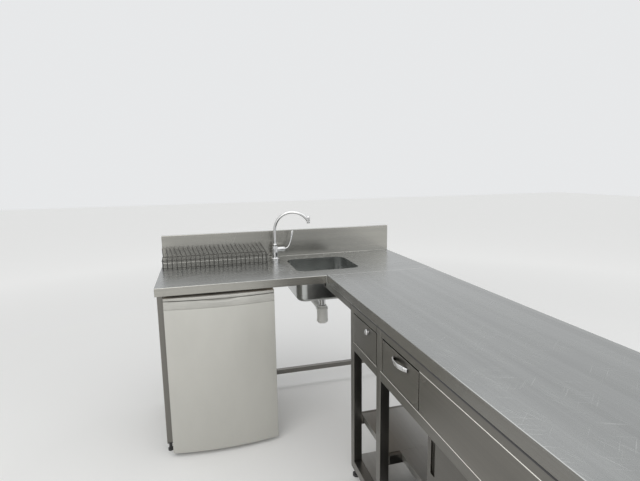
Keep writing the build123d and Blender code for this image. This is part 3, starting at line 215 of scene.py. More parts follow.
def seam_shade_mask(tree):
    """1 deep in seams and inner corners, where shade falls, 0 in the open: the mask of the painted shade.
    """
    hollow = tree.nodes.new("ShaderNodeAmbientOcclusion")
    hollow.samples = MASK_SAMPLES
    hollow.inputs["Distance"].default_value = SEAM_DEPTH
    return spread(tree, hollow.outputs["AO"], 1.0, 0.0, *SEAM_LIMITS)


def level_mask(tree):
    """1 on faces that look up, 0 on upright ones."""
    flat = tree.nodes.new("ShaderNodeNewGeometry")
    parts = tree.nodes.new("ShaderNodeSeparateXYZ")
    tree.links.new(flat.outputs["True Normal"], parts.inputs["Vector"])
    return spread(tree, parts.outputs["Z"], 0.0, 1.0, *LEVEL_LIMITS)


def scratch_run(tree, turn, shift):
    """Sparse thin scratches with tapered ends, all at one angle."""
    place = tree.nodes.new("ShaderNodeTexCoord")
    turned_place = tree.nodes.new("ShaderNodeMapping")
    turned_place.inputs["Rotation"].default_value = (0.0, 0.0, radians(turn))
    turned_place.inputs["Location"].default_value = shift
    tree.links.new(place.outputs["Object"], turned_place.inputs["Vector"])
    stretched = tree.nodes.new("ShaderNodeMapping")
    stretched.inputs["Scale"].default_value = SCRATCH_CELLS
    tree.links.new(turned_place.outputs["Vector"], stretched.inputs["Vector"])
    cells = tree.nodes.new("ShaderNodeTexVoronoi")
    cells.inputs["Scale"].default_value = 1.0
    tree.links.new(stretched.outputs["Vector"], cells.inputs["Vector"])
    line = spread(tree, cells.outputs["Distance"], 1.0, 0.0, *SCRATCH_LIMITS)
    chance = tree.nodes.new("ShaderNodeSeparateColor")
    tree.links.new(cells.outputs["Color"], chance.inputs["Color"])
    chosen = spread(tree, chance.outputs["Red"], 0.0, 1.0, *CHANCE_LIMITS)
    return combine(tree, "MULTIPLY", line, chosen)


def scratches(tree):
    """All runs of scratches, on level faces only."""
    marks = scratch_run(tree, *SCRATCH_RUNS[0])
    for turn, shift in SCRATCH_RUNS[1:]:
        marks = combine(tree, "MAXIMUM", marks, scratch_run(tree, turn, shift))
    return combine(tree, "MULTIPLY", marks, level_mask(tree))


def brushed_steel(name, axis, color, roughness, edge_highlight=1.35, scratched=False, upright=None):
    """Stainless sheet or tube brushed along one axis, with wiped marks, a painted highlight on its edges
    and painted shade in its seams.

    upright is a colour painted on its upright faces, where it differs from its level ones: painted shade on
    a fascia, painted light on an upstand.
    """
    material, tree, shader = new_material(name, color, roughness, metallic=1.0)
    along = BRUSH_ALONG[axis]
    fine = noise(tree, FINE_BRUSHING, along, detail=1.0)
    coarse = noise(tree, COARSE_BRUSHING, along, detail=2.0, shift=(3.0, 1.0, 2.0))
    streak = noise(tree, STREAKS, along, detail=2.0, shift=(1.0, 4.0, 6.0))
    wiped = noise(tree, WIPE_MARKS, distortion=0.5)
    tone = shaded(tree, spread(tree, streak, 0.0, 1.0), color, STREAK_DARK, STREAK_LIGHT)
    # Painted light and shade: upright faces of the same sheet take another colour than its level ones
    if upright:
        painted_upright_tone = shaded(tree, spread(tree, streak, 0.0, 1.0), upright, STREAK_DARK, STREAK_LIGHT)
        tone = blend_colors(tree, level_mask(tree), painted_upright_tone, tone)
    groove = spread(tree, coarse, 0.0, GROOVE_SHARE, *GROOVE_LIMITS)
    tone = blend_colors(tree, groove, tone, shade(color, GROOVE_SHADE))
    # Painted highlight: edges are lightened by the factor given for them
    tone = blend_colors(tree, edge_mask(tree), tone, shade(color, edge_highlight))
    # Painted shade: seams and inner corners are darkened towards near black
    tone = blend_colors(tree, combine(tree, "MULTIPLY", seam_shade_mask(tree), SEAM_SHADE_SHARE), tone, SEAM_PAINTED_SHADE)
    rough = spread(tree, wiped, low=roughness - 0.03, high=roughness + 0.05)
    height = coarse
    if scratched:
        marks = scratches(tree)
        rough = combine(tree, "ADD", rough, combine(tree, "MULTIPLY", marks, SCRATCH_ROUGHNESS))
        bright = combine(tree, "MULTIPLY", marks, SCRATCH_SHARE)
        tone = blend_colors(tree, bright, tone, shade(color, SCRATCH_SHADE))
        height = combine(tree, "SUBTRACT", coarse, marks)
    tree.links.new(tone, shader.inputs["Base Color"])
    tree.links.new(rough, shader.inputs["Roughness"])
    add_bump(tree, shader, height, strength=0.12, distance=0.3 * MM)
    add_bump(tree, shader, fine, strength=0.2, distance=0.1 * MM)
    return material


# Other finishes


def plywood():
    """Birch plywood, with thin glue lines through its edge."""
    color = (0.50, 0.36, 0.22)
    material, tree, shader = new_material("plywood", color, roughness=0.62)
    grain = noise(tree, scale=60.0, stretch=(0.06, 1.0, 1.0), detail=5.0, distortion=0.4)
    plies = noise(tree, scale=420.0, stretch=(0.01, 0.01, 1.0), detail=0.0)
    tone = shaded(tree, spread(tree, grain, 0.0, 1.0), color, dark=0.62, light=1.15)
    glue = spread(tree, plies, low=0.0, high=0.6, start=0.45, end=0.6)
    tone = blend_colors(tree, glue, tone, shade(color, 0.35))
    tree.links.new(tone, shader.inputs["Base Color"])
    add_bump(tree, shader, grain, strength=0.4, distance=0.4 * MM)
    return material


def plastic(name, color, roughness, grain=700.0):
    """Moulded plastic with a fine grain and slight colour drift."""
    material, tree, shader = new_material(name, color, roughness)
    drift = noise(tree, scale=9.0, detail=4.0)
    skin = noise(tree, scale=grain, detail=2.0)
    tone = shaded(tree, spread(tree, drift, 0.0, 1.0), color, dark=0.9, light=1.03)
    tree.links.new(tone, shader.inputs["Base Color"])
    vary_roughness(tree, shader, drift, roughness, less=0.05, more=0.07)
    add_bump(tree, shader, skin, strength=0.3, distance=0.12 * MM)
    return material


def painted(name, color, roughness):
    """Painted sheet metal with a slight orange peel and wiped marks."""
    material, tree, shader = new_material(name, color, roughness, Coat_Weight=0.25, Coat_Roughness=0.12)
    peel = noise(tree, scale=260.0, detail=1.0)
    wiped = noise(tree, scale=4.0, stretch=(1.0, 1.0, 0.5), detail=5.0, roughness=0.65)
    tone = shaded(tree, spread(tree, wiped, 0.0, 1.0), color, dark=0.93, light=1.0)
    tree.links.new(tone, shader.inputs["Base Color"])
    vary_roughness(tree, shader, wiped, roughness, less=0.04, more=0.1)
    add_bump(tree, shader, peel, strength=0.18, distance=0.25 * MM)
    return material


def plated(name, color, roughness):
    """Polished or drawn metal with faint spotting."""
    material, tree, shader = new_material(name, color, roughness, metallic=1.0)
    spots = noise(tree, scale=120.0, detail=4.0, roughness=0.7)
    vary_roughness(tree, shader, spots, roughness, less=0.02, more=0.08)
    tone = shaded(tree, spread(tree, spots, 0.0, 1.0), color, dark=0.92, light=1.0)
    tree.links.new(tone, shader.inputs["Base Color"])
    add_bump(tree, shader, spots, strength=0.06, distance=0.2 * MM)
    return material


def galvanised():
    """Zinc-plated sheet with its spangle."""
    color = (0.52, 0.53, 0.54)
    material, tree, shader = new_material("galvanised", color, roughness=0.42, metallic=1.0)
    place = tree.nodes.new("ShaderNodeTexCoord")
    spangle = tree.nodes.new("ShaderNodeTexVoronoi")
    spangle.inputs["Scale"].default_value = 140.0
    tree.links.new(place.outputs["Object"], spangle.inputs["Vector"])
    flake = tree.nodes.new("ShaderNodeSeparateColor")
    tree.links.new(spangle.outputs["Color"], flake.inputs["Color"])
    tone = shaded(tree, flake.outputs["Red"], color, dark=0.8, light=1.1)
    tree.links.new(tone, shader.inputs["Base Color"])
    rough = spread(tree, flake.outputs["Green"], low=0.34, high=0.52, start=0.0, end=1.0)
    tree.links.new(rough, shader.inputs["Roughness"])
    return material


def clear(name, color, roughness, transmission):
    """Tinted clear glass or plastic with a wiped haze."""
    material, tree, shader = new_material(
        name, color, roughness, Transmission_Weight=transmission, IOR=1.45
    )
    haze = noise(tree, scale=90.0)
    vary_roughness(tree, shader, haze, roughness, less=0.0, more=0.12)
    return material


# Painted light and shade: the upstand is coloured lighter and the serving top's fascia darker than the tops
TOP_STEEL = (0.365, 0.372, 0.366)
UPSTAND_PAINTED_LIGHT = (0.43, 0.42, 0.385)
FASCIA_PAINTED_SHADE = (0.235, 0.228, 0.21)
# Painted shade: the fronts and the frame's tubes are the same stainless as the tops, coloured much darker
# for the shade on them
SHADED_FRONT_STEEL = (0.195, 0.187, 0.170)
INNER_STEEL = (0.36, 0.355, 0.34)
SHADED_TUBE_STEEL = (0.205, 0.198, 0.182)
# Painted shade: the sliding doors are darker than the fronts, for the shadow under the rail above them
DOOR_PAINTED_SHADE = 0.78
TOP_X = brushed_steel("stainless_top_x", "x", TOP_STEEL, 0.24, scratched=True, upright=UPSTAND_PAINTED_LIGHT)
TOP_Y = brushed_steel("stainless_top_y", "y", TOP_STEEL, 0.24, scratched=True, upright=FASCIA_PAINTED_SHADE)
# Fronts, doors and frame tubes get a stronger painted highlight on their edges
FRONT_Y = brushed_steel("stainless_front_y", "y", SHADED_FRONT_STEEL, 0.28, edge_highlight=2.8)
SHADED_DOOR_Y = brushed_steel("stainless_door_shaded_y", "y", shade(SHADED_FRONT_STEEL, DOOR_PAINTED_SHADE), 0.28, edge_highlight=2.8)
INNER_X = brushed_steel("stainless_inner_x", "x", INNER_STEEL, 0.32)
INNER_Y = brushed_steel("stainless_inner_y", "y", INNER_STEEL, 0.32, scratched=True)
BOWL_STEEL = brushed_steel("stainless_bowl", "x", (0.49, 0.50, 0.49), 0.24, edge_highlight=1.15)
WELD_STEEL = brushed_steel("stainless_weld", "x", (0.5, 0.5, 0.49), 0.3)
# Painted highlight: a pale steel for the beads that stand in for light along the folds
HIGHLIGHT_STEEL = brushed_steel("stainless_painted_highlight", "y", (0.72, 0.70, 0.65), 0.22)
FRAME_X = brushed_steel("frame_steel_x", "x", SHADED_TUBE_STEEL, 0.32, edge_highlight=1.7)
FRAME_Y = brushed_steel("frame_steel_y", "y", SHADED_TUBE_STEEL, 0.32, edge_highlight=1.7)
FRAME_Z = brushed_steel("frame_steel_z", "z", SHADED_TUBE_STEEL, 0.32, edge_highlight=1.7)
PLYWOOD = plywood()
BLACK_PLASTIC = plastic("black_plastic", (0.035, 0.035, 0.036), 0.5)
WHITE_PLASTIC = plastic("white_plastic", (0.74, 0.74, 0.71), 0.38)
CHROME = plated("chrome", (0.62, 0.62, 0.62), 0.06)
# Painted shade: the wire is coloured far darker than bare drawn steel, for the dark stripes of the rack and
# its shadow
SHADED_WIRE = plated("drawn_wire_shaded", (0.075, 0.072, 0.067), 0.3)
GALVANISED = galvanised()
ALUMINIUM = brushed_steel("aluminium", "y", (0.6, 0.6, 0.61), 0.33)
FRIDGE_PAINT = painted("fridge_paint", (0.60, 0.594, 0.55), 0.36)
FRIDGE_PLASTIC = plastic("fridge_plastic", (0.57, 0.564, 0.525), 0.4, grain=420.0)
LINER_PLASTIC = plastic("liner_plastic", (0.74, 0.75, 0.755), 0.3)
GASKET_RUBBER = plastic("gasket_rubber", (0.58, 0.585, 0.58), 0.62)
SHELF_GLASS = clear("shelf_glass", (0.86, 0.95, 0.92), 0.03, transmission=0.95)
CRISPER_PLASTIC = clear("crisper_plastic", (0.80, 0.87, 0.90), 0.3, transmission=0.4)
BLACK_METAL = painted("black_metal", (0.03, 0.03, 0.031), 0.35)

NODE_FINISHES = {
    "worktop_back": TOP_X, "worktop_serving": TOP_Y,
    "core_back": PLYWOOD, "core_serving": PLYWOOD, "battens": PLYWOOD,
    "posts": FRAME_Z, "rails_x": FRAME_X, "rails_y": FRAME_Y, "feet": BLACK_PLASTIC,
    "sink_bowl": BOWL_STEEL, "sink_waste": CHROME, "sink_trap": WHITE_PLASTIC,
    "tap_body": CHROME, "tap_spout": CHROME, "tap_lever": CHROME,
    "rack_ribs": SHADED_WIRE, "rack_pins": SHADED_WIRE, "rack_ties": SHADED_WIRE,
    "cradle_plates": GALVANISED, "channels": GALVANISED,
    "drawer_a_front": FRONT_Y, "drawer_a_box": INNER_X,
    "drawer_a_sliders": GALVANISED, "drawer_a_knob": CHROME,
    "drawer_b_front": FRONT_Y, "drawer_b_box": INNER_X,
    "drawer_b_sliders": GALVANISED, "drawer_b_handle": CHROME,
    "panels_fixed": FRONT_Y, "panel_back": FRONT_Y, "panel_end": INNER_X,
    "shelf_a": INNER_Y, "shelf_b": INNER_Y, "deck": INNER_Y,
    "track_low": ALUMINIUM, "track_high": ALUMINIUM, "door_far": SHADED_DOOR_Y, "door_near": SHADED_DOOR_Y,
    "fridge_cabinet": FRIDGE_PAINT, "fridge_liner": LINER_PLASTIC, "fridge_lid": FRIDGE_PLASTIC,
    "fridge_door": FRIDGE_PAINT, "fridge_door_trim": FRIDGE_PLASTIC,
    "fridge_door_lining": LINER_PLASTIC, "fridge_door_bins": LINER_PLASTIC,
    "fridge_gasket": GASKET_RUBBER, "fridge_shelves": SHELF_GLASS, "fridge_crisper": CRISPER_PLASTIC,
    "fridge_hinges": GALVANISED, "fridge_feet": BLACK_PLASTIC, "fridge_fixings": GALVANISED,
    "fridge_compressor": BLACK_METAL, "fridge_condenser": BLACK_METAL,
}

# Widths of the softened edges, in millimetres
SOFTENED = {
    "worktop_back": 0.4, "worktop_serving": 0.4, "core_back": 0.4, "core_serving": 0.4,
    "posts": 2.5, "rails_x": 2.5, "rails_y": 2.5, "feet": 0.8, "sink_trap": 1.0, "channels": 0.4,
    "drawer_a_front": 1.0, "drawer_b_front": 1.0, "panels_fixed": 1.0,
    "door_far": 1.2, "door_near": 1.2, "shelf_a": 0.6, "shelf_b": 0.6,
    "fridge_cabinet": 0.6, "fridge_lid": 1.2, "fridge_door": 0.7, "fridge_door_trim": 1.2,
    "fridge_door_lining": 2.5, "fridge_gasket": 2.5, "fridge_crisper": 1.0, "fridge_feet": 0.8,
}
SOFT_ANGLE = radians(40)
WELD_REACH = 0.01 * MM


def finish_nodes():
    """Puts each node's finish on it, and softens the edges that catch the light."""
    for name, material in NODE_FINISHES.items():
        node = frame["nodes"][name]
        for material_slot in node.material_slots:
            material_slot.material = material
        if name in SOFTENED:
            weld = node.modifiers.new("weld", "WELD")
            weld.merge_threshold = WELD_REACH
            bevel = node.modifiers.new("soft edges", "BEVEL")
            bevel.width = SOFTENED[name] * MM
            bevel.segments = 2
            bevel.limit_method = "ANGLE"
            bevel.angle_limit = SOFT_ANGLE
            bevel.harden_normals = False


# Mesh helpers

SHARP_ANGLE = radians(32)

# A profile's smallest radius, next to the lathe's axis, in millimetres
AXIS = 0.01

# Turns of the lathe's axis from upright
FACING = {
    "+x": Matrix.Rotation(pi / 2, 4, "Y"),
    "-x": Matrix.Rotation(-pi / 2, 4, "Y"),
    "+y": Matrix.Rotation(-pi / 2, 4, "X"),
    "-y": Matrix.Rotation(pi / 2, 4, "X"),
}


def add_piece(name, mesh, material, body="counter", replaced=()):
    """Makes a piece of a bmesh, smooth except where its faces meet sharply, and ties it to its body."""
    bmesh.ops.recalc_face_normals(mesh, faces=mesh.faces)
    for face in mesh.faces:
        face.smooth = True
    for edge in mesh.edges:
        edge.smooth = len(edge.link_faces) == 2 and edge.calc_face_angle(0.0) < SHARP_ANGLE
    data = bpy.data.meshes.new(name)
    mesh.to_mesh(data)
    mesh.free()
    data.materials.append(material)
    piece = bpy.data.objects.new(name, data)
    bpy.context.scene.collection.objects.link(piece)
    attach(piece, body)
    if replaced:
        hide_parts(*replaced)


def loft(mesh, rings, around=False):
    """Skins closed rings of as many points each, capped at both ends or joined last to first."""
    loops = [[mesh.verts.new(point) for point in ring] for ring in rings]
    count = len(loops[0])
    pairs = list(zip(loops, loops[1:]))
    if around:
        pairs.append((loops[-1], loops[0]))
    for lower, upper in pairs:
        for i in range(count):
            j = (i + 1) % count
            mesh.faces.new((lower[i], lower[j], upper[j], upper[i]))
    if not around:
        mesh.faces.new(list(reversed(loops[0])))
        mesh.faces.new(loops[-1])


def rounded_path(points, radius, steps=6):
    """Points of a path whose inner corners are turned by arcs."""
    points = [Vector(point) for point in points]
    path = [points[0]]
    for before, corner, after in zip(points, points[1:], points[2:]):
        back = (before - corner).normalized()
        ahead = (after - corner).normalized()
        half = back.angle(ahead) / 2
        reach = radius / tan(half)
        bisector = (back + ahead).normalized()
        centre = corner + bisector * (radius / sin(half))
        start = corner + back * reach
        end = corner + ahead * reach
        turn = (start - centre).angle(end - centre)
        for i in range(steps + 1):
            share = i / steps
            first = sin((1 - share) * turn) / sin(turn)
            second = sin(share * turn) / sin(turn)
            path.append(centre + (start - centre) * first + (end - centre) * second)
    path.append(points[-1])
    return path


def tube_rings(path, radii, sides=12, up=Vector((0, 0, 1))):
    """Rings round a path, carried along it without twist.

    radii is one radius, or a list with a pair for each point: across the path's plane and in it.
    """
    if not isinstance(radii, list):
        radii = [(radii, radii)] * len(path)
    heading = (path[1] - path[0]).normalized()
    side = heading.cross(up)
    starts_along_up = side.length < 0.01
    if starts_along_up:
        side = heading.cross(Vector((0, 1, 0)))
    side.normalize()
    rings = []
    for i, point in enumerate(path):
        ahead = path[min(i + 1, len(path) - 1)] - path[max(i - 1, 0)]
        new_heading = ahead.normalized()
        side = heading.rotation_difference(new_heading) @ side
        heading = new_heading
        other = heading.cross(side)
        wide, tall = radii[i]
        ring = []
        for k in range(sides):
            angle = 2 * pi * k / sides
            ring.append(point + side * (cos(angle) * wide) + other * (sin(angle) * tall))
        rings.append(ring)
    return rings


def straight_bar(mesh, start, end, radius, sides=10):
    """A round bar between two points."""
    loft(mesh, tube_rings([Vector(start), Vector(end)], radius, sides))


def turned(profile, corner, steps=4):
    """A profile in millimetres with its corners rounded, in metres."""
    path = rounded_path([(radius, 0, height) for radius, height in profile], corner, steps)
    return [(point.x * MM, point.z * MM) for point in path]


def lathe(mesh, profile, place, sides=48, around=False, flutes=0, flute_depth=0.0):
    """Turns a profile in metres about the Z axis of a placing matrix, with flutes if any."""
    rings = []
    for radius, height in profile:
        ring = []
        for k in range(sides):
            angle = 2 * pi * k / sides
            reach = radius - flute_depth * (0.5 + 0.5 * cos(flutes * angle)) if flutes else radius
            ring.append(place @ Vector((reach * cos(angle), reach * sin(angle), height)))
        rings.append(ring)
    loft(mesh, rings, around)


def rounded_rectangle(x, y, z, width, length, corner, steps=10):
    """Points of a rounded rectangle at one height."""
    points = []
    for quarter, (sx, sy) in enumerate(((1, 1), (-1, 1), (-1, -1), (1, -1))):
        for k in range(steps + 1):
            angle = (quarter + k / steps) * pi / 2
            points.append(Vector((
                x + sx * (width / 2 - corner) + corner * cos(angle),
                y + sy * (length / 2 - corner) + corner * sin(angle),
                z,
            )))
    return points


def rounded_bar(mesh, lo, hi, corner, axis=0):
    """A bar along X, Y or Z between two corners of its box, with its long edges rounded."""
    lo = Vector(lo)
    hi = Vector(hi)
    a, b = [k for k in range(3) if k != axis]
    middle = (lo + hi) / 2
    section = rounded_rectangle(middle[a], middle[b], 0, hi[a] - lo[a], hi[b] - lo[b], corner, steps=4)
    rings = []
    for level in (lo[axis], hi[axis]):
        ring = []
        for point in section:
            place = Vector((0, 0, 0))
            place[axis] = level
            place[a] = point.x
            place[b] = point.y
            ring.append(place)
        rings.append(ring)
    loft(mesh, rings)


def levels(name, axis):
    """The different places of a node's corners along an axis, in rising order."""
    return sorted({round(vertex.co[axis], 4) for vertex in frame["nodes"][name].data.vertices})


# Plate rack

WIRE_RADIUS = 2.0 * MM
RIB_COUNT = 24
RIB_RADIUS = 2.3 * MM
RIB_BEND = 7.0 * MM
FRONT_HEIGHT = 58.0 * MM
MIDDLE_HEIGHT = 62.0 * MM
REAR_HEIGHT = 98.0 * MM
FIRST_LEAN = 9.0 * MM
LEAN_STEP = 4.0 * MM
MOST_LEAN = 20.0 * MM
LOW_TIE_HEIGHT = 6.0 * MM
HIGH_TIE_DROP = 8.0 * MM


def plate_rack():
    """Bent round wires, each with a free end, welded to three long ones.

    The free ends lean to the left, the first ones less, so that they stay over the top.
    """
    lo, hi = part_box("rack_ribs")
    first_x = lo.x + WIRE_RADIUS
    front_y = lo.y + WIRE_RADIUS
    rear_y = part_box("rack_pins")[1].y
    middle_y = (front_y + rear_y) / 2
    pitch = (hi.x - WIRE_RADIUS - first_x) / (RIB_COUNT - 1)
    ribs = bmesh.new()
    for rib in range(RIB_COUNT):
        x = first_x + pitch * rib
        lean = min(FIRST_LEAN + LEAN_STEP * rib, MOST_LEAN)
        corners = [
            (x, front_y, TOP),
            (x, front_y, TOP + FRONT_HEIGHT),
            (x, middle_y, TOP + MIDDLE_HEIGHT),
            (x - lean, rear_y, TOP + REAR_HEIGHT),
        ]
        loft(ribs, tube_rings(rounded_path(corners, RIB_BEND), RIB_RADIUS, sides=10))
    add_piece("rack_ribs_bent", ribs, SHADED_WIRE, replaced=["rack_ribs", "rack_pins"])

    tie_lo, tie_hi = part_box("rack_ties")
    ties = bmesh.new()
    for y, z in (
        (front_y - 2 * WIRE_RADIUS, TOP + LOW_TIE_HEIGHT),
        (front_y - 2 * WIRE_RADIUS, TOP + FRONT_HEIGHT - HIGH_TIE_DROP),
        (middle_y, TOP + MIDDLE_HEIGHT - 2 * WIRE_RADIUS),
    ):
        straight_bar(ties, (tie_lo.x, y, z), (tie_hi.x, y, z), WIRE_RADIUS)
    leg_top = TOP + MIDDLE_HEIGHT - 3 * WIRE_RADIUS
    for x in (tie_lo.x + WIRE_RADIUS, tie_hi.x - WIRE_RADIUS):
        straight_bar(ties, (x, middle_y, TOP), (x, middle_y, leg_top), WIRE_RADIUS)
    add_piece("rack_ties_round", ties, SHADED_WIRE, replaced=["rack_ties"])


# Tap

TAP_BODY = ((AXIS, 0), (27, 0), (27, 5), (25, 7), (19.5, 8.5), (19, 12), (19, 82), (AXIS, 82))
TAP_SHANK = ((AXIS, -60), (16, -60), (16, 1), (AXIS, 1))
VALVE_HEIGHT = 61.0 * MM
VALVE_STEM = ((AXIS, 10), (15.4, 10), (15.4, 24), (16, 25))
SPOUT_RADIUS = 9.3 * MM
SPOUT_FOOT = 68.0 * MM
SPOUT_BEND = 180.0 * MM
SPOUT_RUN_IN = 20.0 * MM
SPOUT_ARC = 115.0 * MM
SPOUT_SWEEP = radians(149)
SPOUT_TURN = radians(-20)
SPOUT_STEPS = 32
COLLAR_HEIGHT = 82.3 * MM
COLLAR = ((9, 0), (14, 0), (14, 11), (11, 16), (9, 16))
HEAD_DROP = 14.0 * MM
HEAD_NOZZLE = ((AXIS, 2), (8, 2), (8, 0), (9.6, 0), (9.6, 5), (11.4, 7), (11.4, 14), (AXIS, 14))
HEAD_SLEEVE = ((AXIS, 15), (11.4, 15), (11.4, 37), (8.5, 46), (AXIS, 46))
LEVER_HUB = ((AXIS, 0.4), (15.8, 0.4), (15.8, 7), (12, 12), (AXIS, 12))

# The lever's path as (outwards, up) from its hub, and the share of it where the rod turns to a blade.
# These and the tip's steps are in millimetres.
LEVER_PATH = ((6.0, 0.0), (26.0, 5.0), (41.0, 23.0), (51.0, 50.0), (57.5, 80.0), (62.5, 111.0))
LEVER_BEND = 30.0 * MM
LEVER_RADIUS = 4.2
BLADE_CHANGE = 1.6
BLADE_START = 0.55
BLADE_RUN = 0.3

# The rings that close the lever's tip: steps onwards, and shares of the blade's section
LEVER_TIP = ((1.5, 0.93), (1.2, 0.75), (0.8, 0.45))


def smooth_step(value):
    """A value held between 0 and 1, with a soft start and end."""
    held = max(0.0, min(1.0, value))
    return held * held * (3 - 2 * held)


def tap():
    """Mixer tap: turned body, gooseneck with an upright spray head, and a tapered lever."""
    axis = Vector(JOINTS["spout_turn"]["pos_m"])
    foot = Matrix.Translation((axis.x, axis.y, TOP))
    valve_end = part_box("tap_body")[1].x
    body = bmesh.new()
    lathe(body, turned(TAP_BODY, corner=1.2), foot)
    lathe(body, turned(TAP_SHANK, corner=0.6), foot, sides=32)
    length = (valve_end - axis.x) / MM
    stem = turned([*VALVE_STEM, (VALVE_STEM[-1][0], length), (AXIS, length)], corner=0.8)
    lathe(body, stem, foot @ Matrix.Translation((0, 0, VALVE_HEIGHT)) @ FACING["+x"])
    add_piece("tap_body_turned", body, CHROME, replaced=["tap_body"])

    neck = bmesh.new()
    out = Vector((cos(SPOUT_TURN), sin(SPOUT_TURN), 0))
    bend = Vector((axis.x, axis.y, TOP + SPOUT_BEND))
    path = [Vector((axis.x, axis.y, TOP + SPOUT_FOOT)), bend - Vector((0, 0, SPOUT_RUN_IN))]
    for i in range(SPOUT_STEPS + 1):
        angle = SPOUT_SWEEP * i / SPOUT_STEPS
        path.append(bend + out * (SPOUT_ARC * (1 - cos(angle))) + Vector((0, 0, SPOUT_ARC * sin(angle))))
    loft(neck, tube_rings(path, SPOUT_RADIUS, sides=24))
    collar = foot @ Matrix.Translation((0, 0, COLLAR_HEIGHT))
    lathe(neck, turned(COLLAR, corner=1.2), collar, around=True)
    head = Matrix.Translation(path[-1] - Vector((0, 0, HEAD_DROP)))
    lathe(neck, turned(HEAD_NOZZLE, corner=0.9), head)
    lathe(neck, turned(HEAD_SLEEVE, corner=1.8), head)
    add_piece("tap_gooseneck", neck, CHROME, body="spout", replaced=["tap_spout"])

    lever = bmesh.new()
    start = Vector((valve_end, axis.y, TOP + VALVE_HEIGHT))
    lathe(lever, turned(LEVER_HUB, corner=1.6), Matrix.Translation(start) @ FACING["+x"])
    corners = [start + Vector((x * MM, 0, z * MM)) for x, z in LEVER_PATH]
    path = rounded_path(corners, LEVER_BEND, steps=5)
    runs = [0.0]
    for before, after in zip(path, path[1:]):
        runs.append(runs[-1] + (after - before).length)
    radii = []
    for run in runs:
        change = BLADE_CHANGE * smooth_step((run / runs[-1] - BLADE_START) / BLADE_RUN)
        radii.append(((LEVER_RADIUS - change) * MM, (LEVER_RADIUS + change) * MM))
    thin, broad = radii[-1]
    for onwards, share in LEVER_TIP:
        path.append(path[-1] + (path[-1] - path[-2]).normalized() * onwards * MM)
        radii.append((thin * share, broad * share))
    loft(lever, tube_rings(path, radii, sides=20))
    add_piece("tap_lever_bent", lever, CHROME, replaced=["tap_lever"])


# Sink

SINK_CORNER = 55.0 * MM
SINK_LEAST_CORNER = 20.0 * MM
SINK_FLOOR_RADIUS = 24.0 * MM
SINK_SHEET = 1.2 * MM
SINK_UPPER_RING = 50.0 * MM
WASTE_SEAT = 45.3 * MM
FLOOR_FALL = 2.5 * MM
BOWL_STEPS = 9


def bowl_side(bottom, skin):
    """Insets and heights down one skin of the bowl, from its mouth to its floor."""
    side = [(skin, TOP), (skin, TOP - SINK_UPPER_RING), (skin, bottom + skin + SINK_FLOOR_RADIUS)]
    radius = SINK_FLOOR_RADIUS - skin
    for step in range(1, BOWL_STEPS + 1):
        turn = pi / 2 * step / BOWL_STEPS
        height = bottom + skin + FLOOR_FALL + radius * (1 - sin(turn))
        side.append((skin + radius * (1 - cos(turn)), height))
    return side


def sink():
    """Pressed bowl with rounded walls and a floor that falls to its waste."""
    lo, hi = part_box("sink_bowl")
    x = (lo.x + hi.x) / 2
    y = (lo.y + hi.y) / 2
    skins = []
    for skin in (SINK_SHEET, 0.0):
        rings = []
        for inset, z in bowl_side(lo.z, skin):
            width = hi.x - lo.x - 2 * inset
            length = hi.y - lo.y - 2 * inset
            corner = max(SINK_CORNER - inset, SINK_LEAST_CORNER)
            rings.append(rounded_rectangle(x, y, z, width, length, corner))
        centre = Vector((x, y, lo.z + skin))
        mouth = []
        for point in rings[-1]:
            outward = Vector((point.x - x, point.y - y, 0)).normalized()
            mouth.append(centre + outward * WASTE_SEAT)
        rings.append(mouth)
        skins.append(rings)
    bowl = bmesh.new()
    loft(bowl, skins[0] + skins[1][::-1], around=True)
    add_piece("sink_bowl_pressed", bowl, BOWL_STEEL, replaced=["sink_bowl"])


# Waste

WASTE_SHELL = (
    (18.5, 0), (20, 0), (20, 40), (44.4, 44), (44.4, 76.1), (55, 76.3), (54.4, 77.6), (46.5, 77.6),
    (43, 74.5), (43, 46), (18.5, 43),
)
WASTE_KNOB = ((AXIS, 46), (5, 46), (3, 49), (3, 55), (8.5, 58), (8.5, 61), (AXIS, 62.5))

# The strainer's rings and spokes, in millimetres
RING_RADII = (13, 20.5, 28, 35.5, 42.5)
RING_HEIGHT = 47
RING_SIDES = 8
SPOKE_COUNT = 16
SPOKE_HEIGHT = 46.4
SPOKE_ENDS = (4, 43)
SPOKE_RADIUS = 0.9


def waste():
    """Basket waste: a dished rim over a cup and its tail, with a strainer of rings and spokes."""
    lo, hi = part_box("sink_waste")
    place = Matrix.Translation(((lo.x + hi.x) / 2, (lo.y + hi.y) / 2, lo.z))
    basket = bmesh.new()
    lathe(basket, turned(WASTE_SHELL, corner=0.5, steps=2), place, around=True)
    lathe(basket, turned(WASTE_KNOB, corner=0.8, steps=3), place, sides=24)
    for radius in RING_RADII:
        ring = []
        for k in range(RING_SIDES):
            angle = 2 * pi * k / RING_SIDES
            ring.append(((radius + cos(angle)) * MM, (RING_HEIGHT + sin(angle)) * MM))
        lathe(basket, ring, place, around=True)
    for spoke in range(SPOKE_COUNT):
        angle = 2 * pi * spoke / SPOKE_COUNT
        ends = []
        for reach in SPOKE_ENDS:
            spot = Vector((reach * cos(angle), reach * sin(angle), SPOKE_HEIGHT)) * MM
            ends.append(place @ spot)
        straight_bar(basket, *ends, SPOKE_RADIUS * MM, sides=6)
    add_piece("waste_basket", basket, CHROME, replaced=["sink_waste"])


# Trap

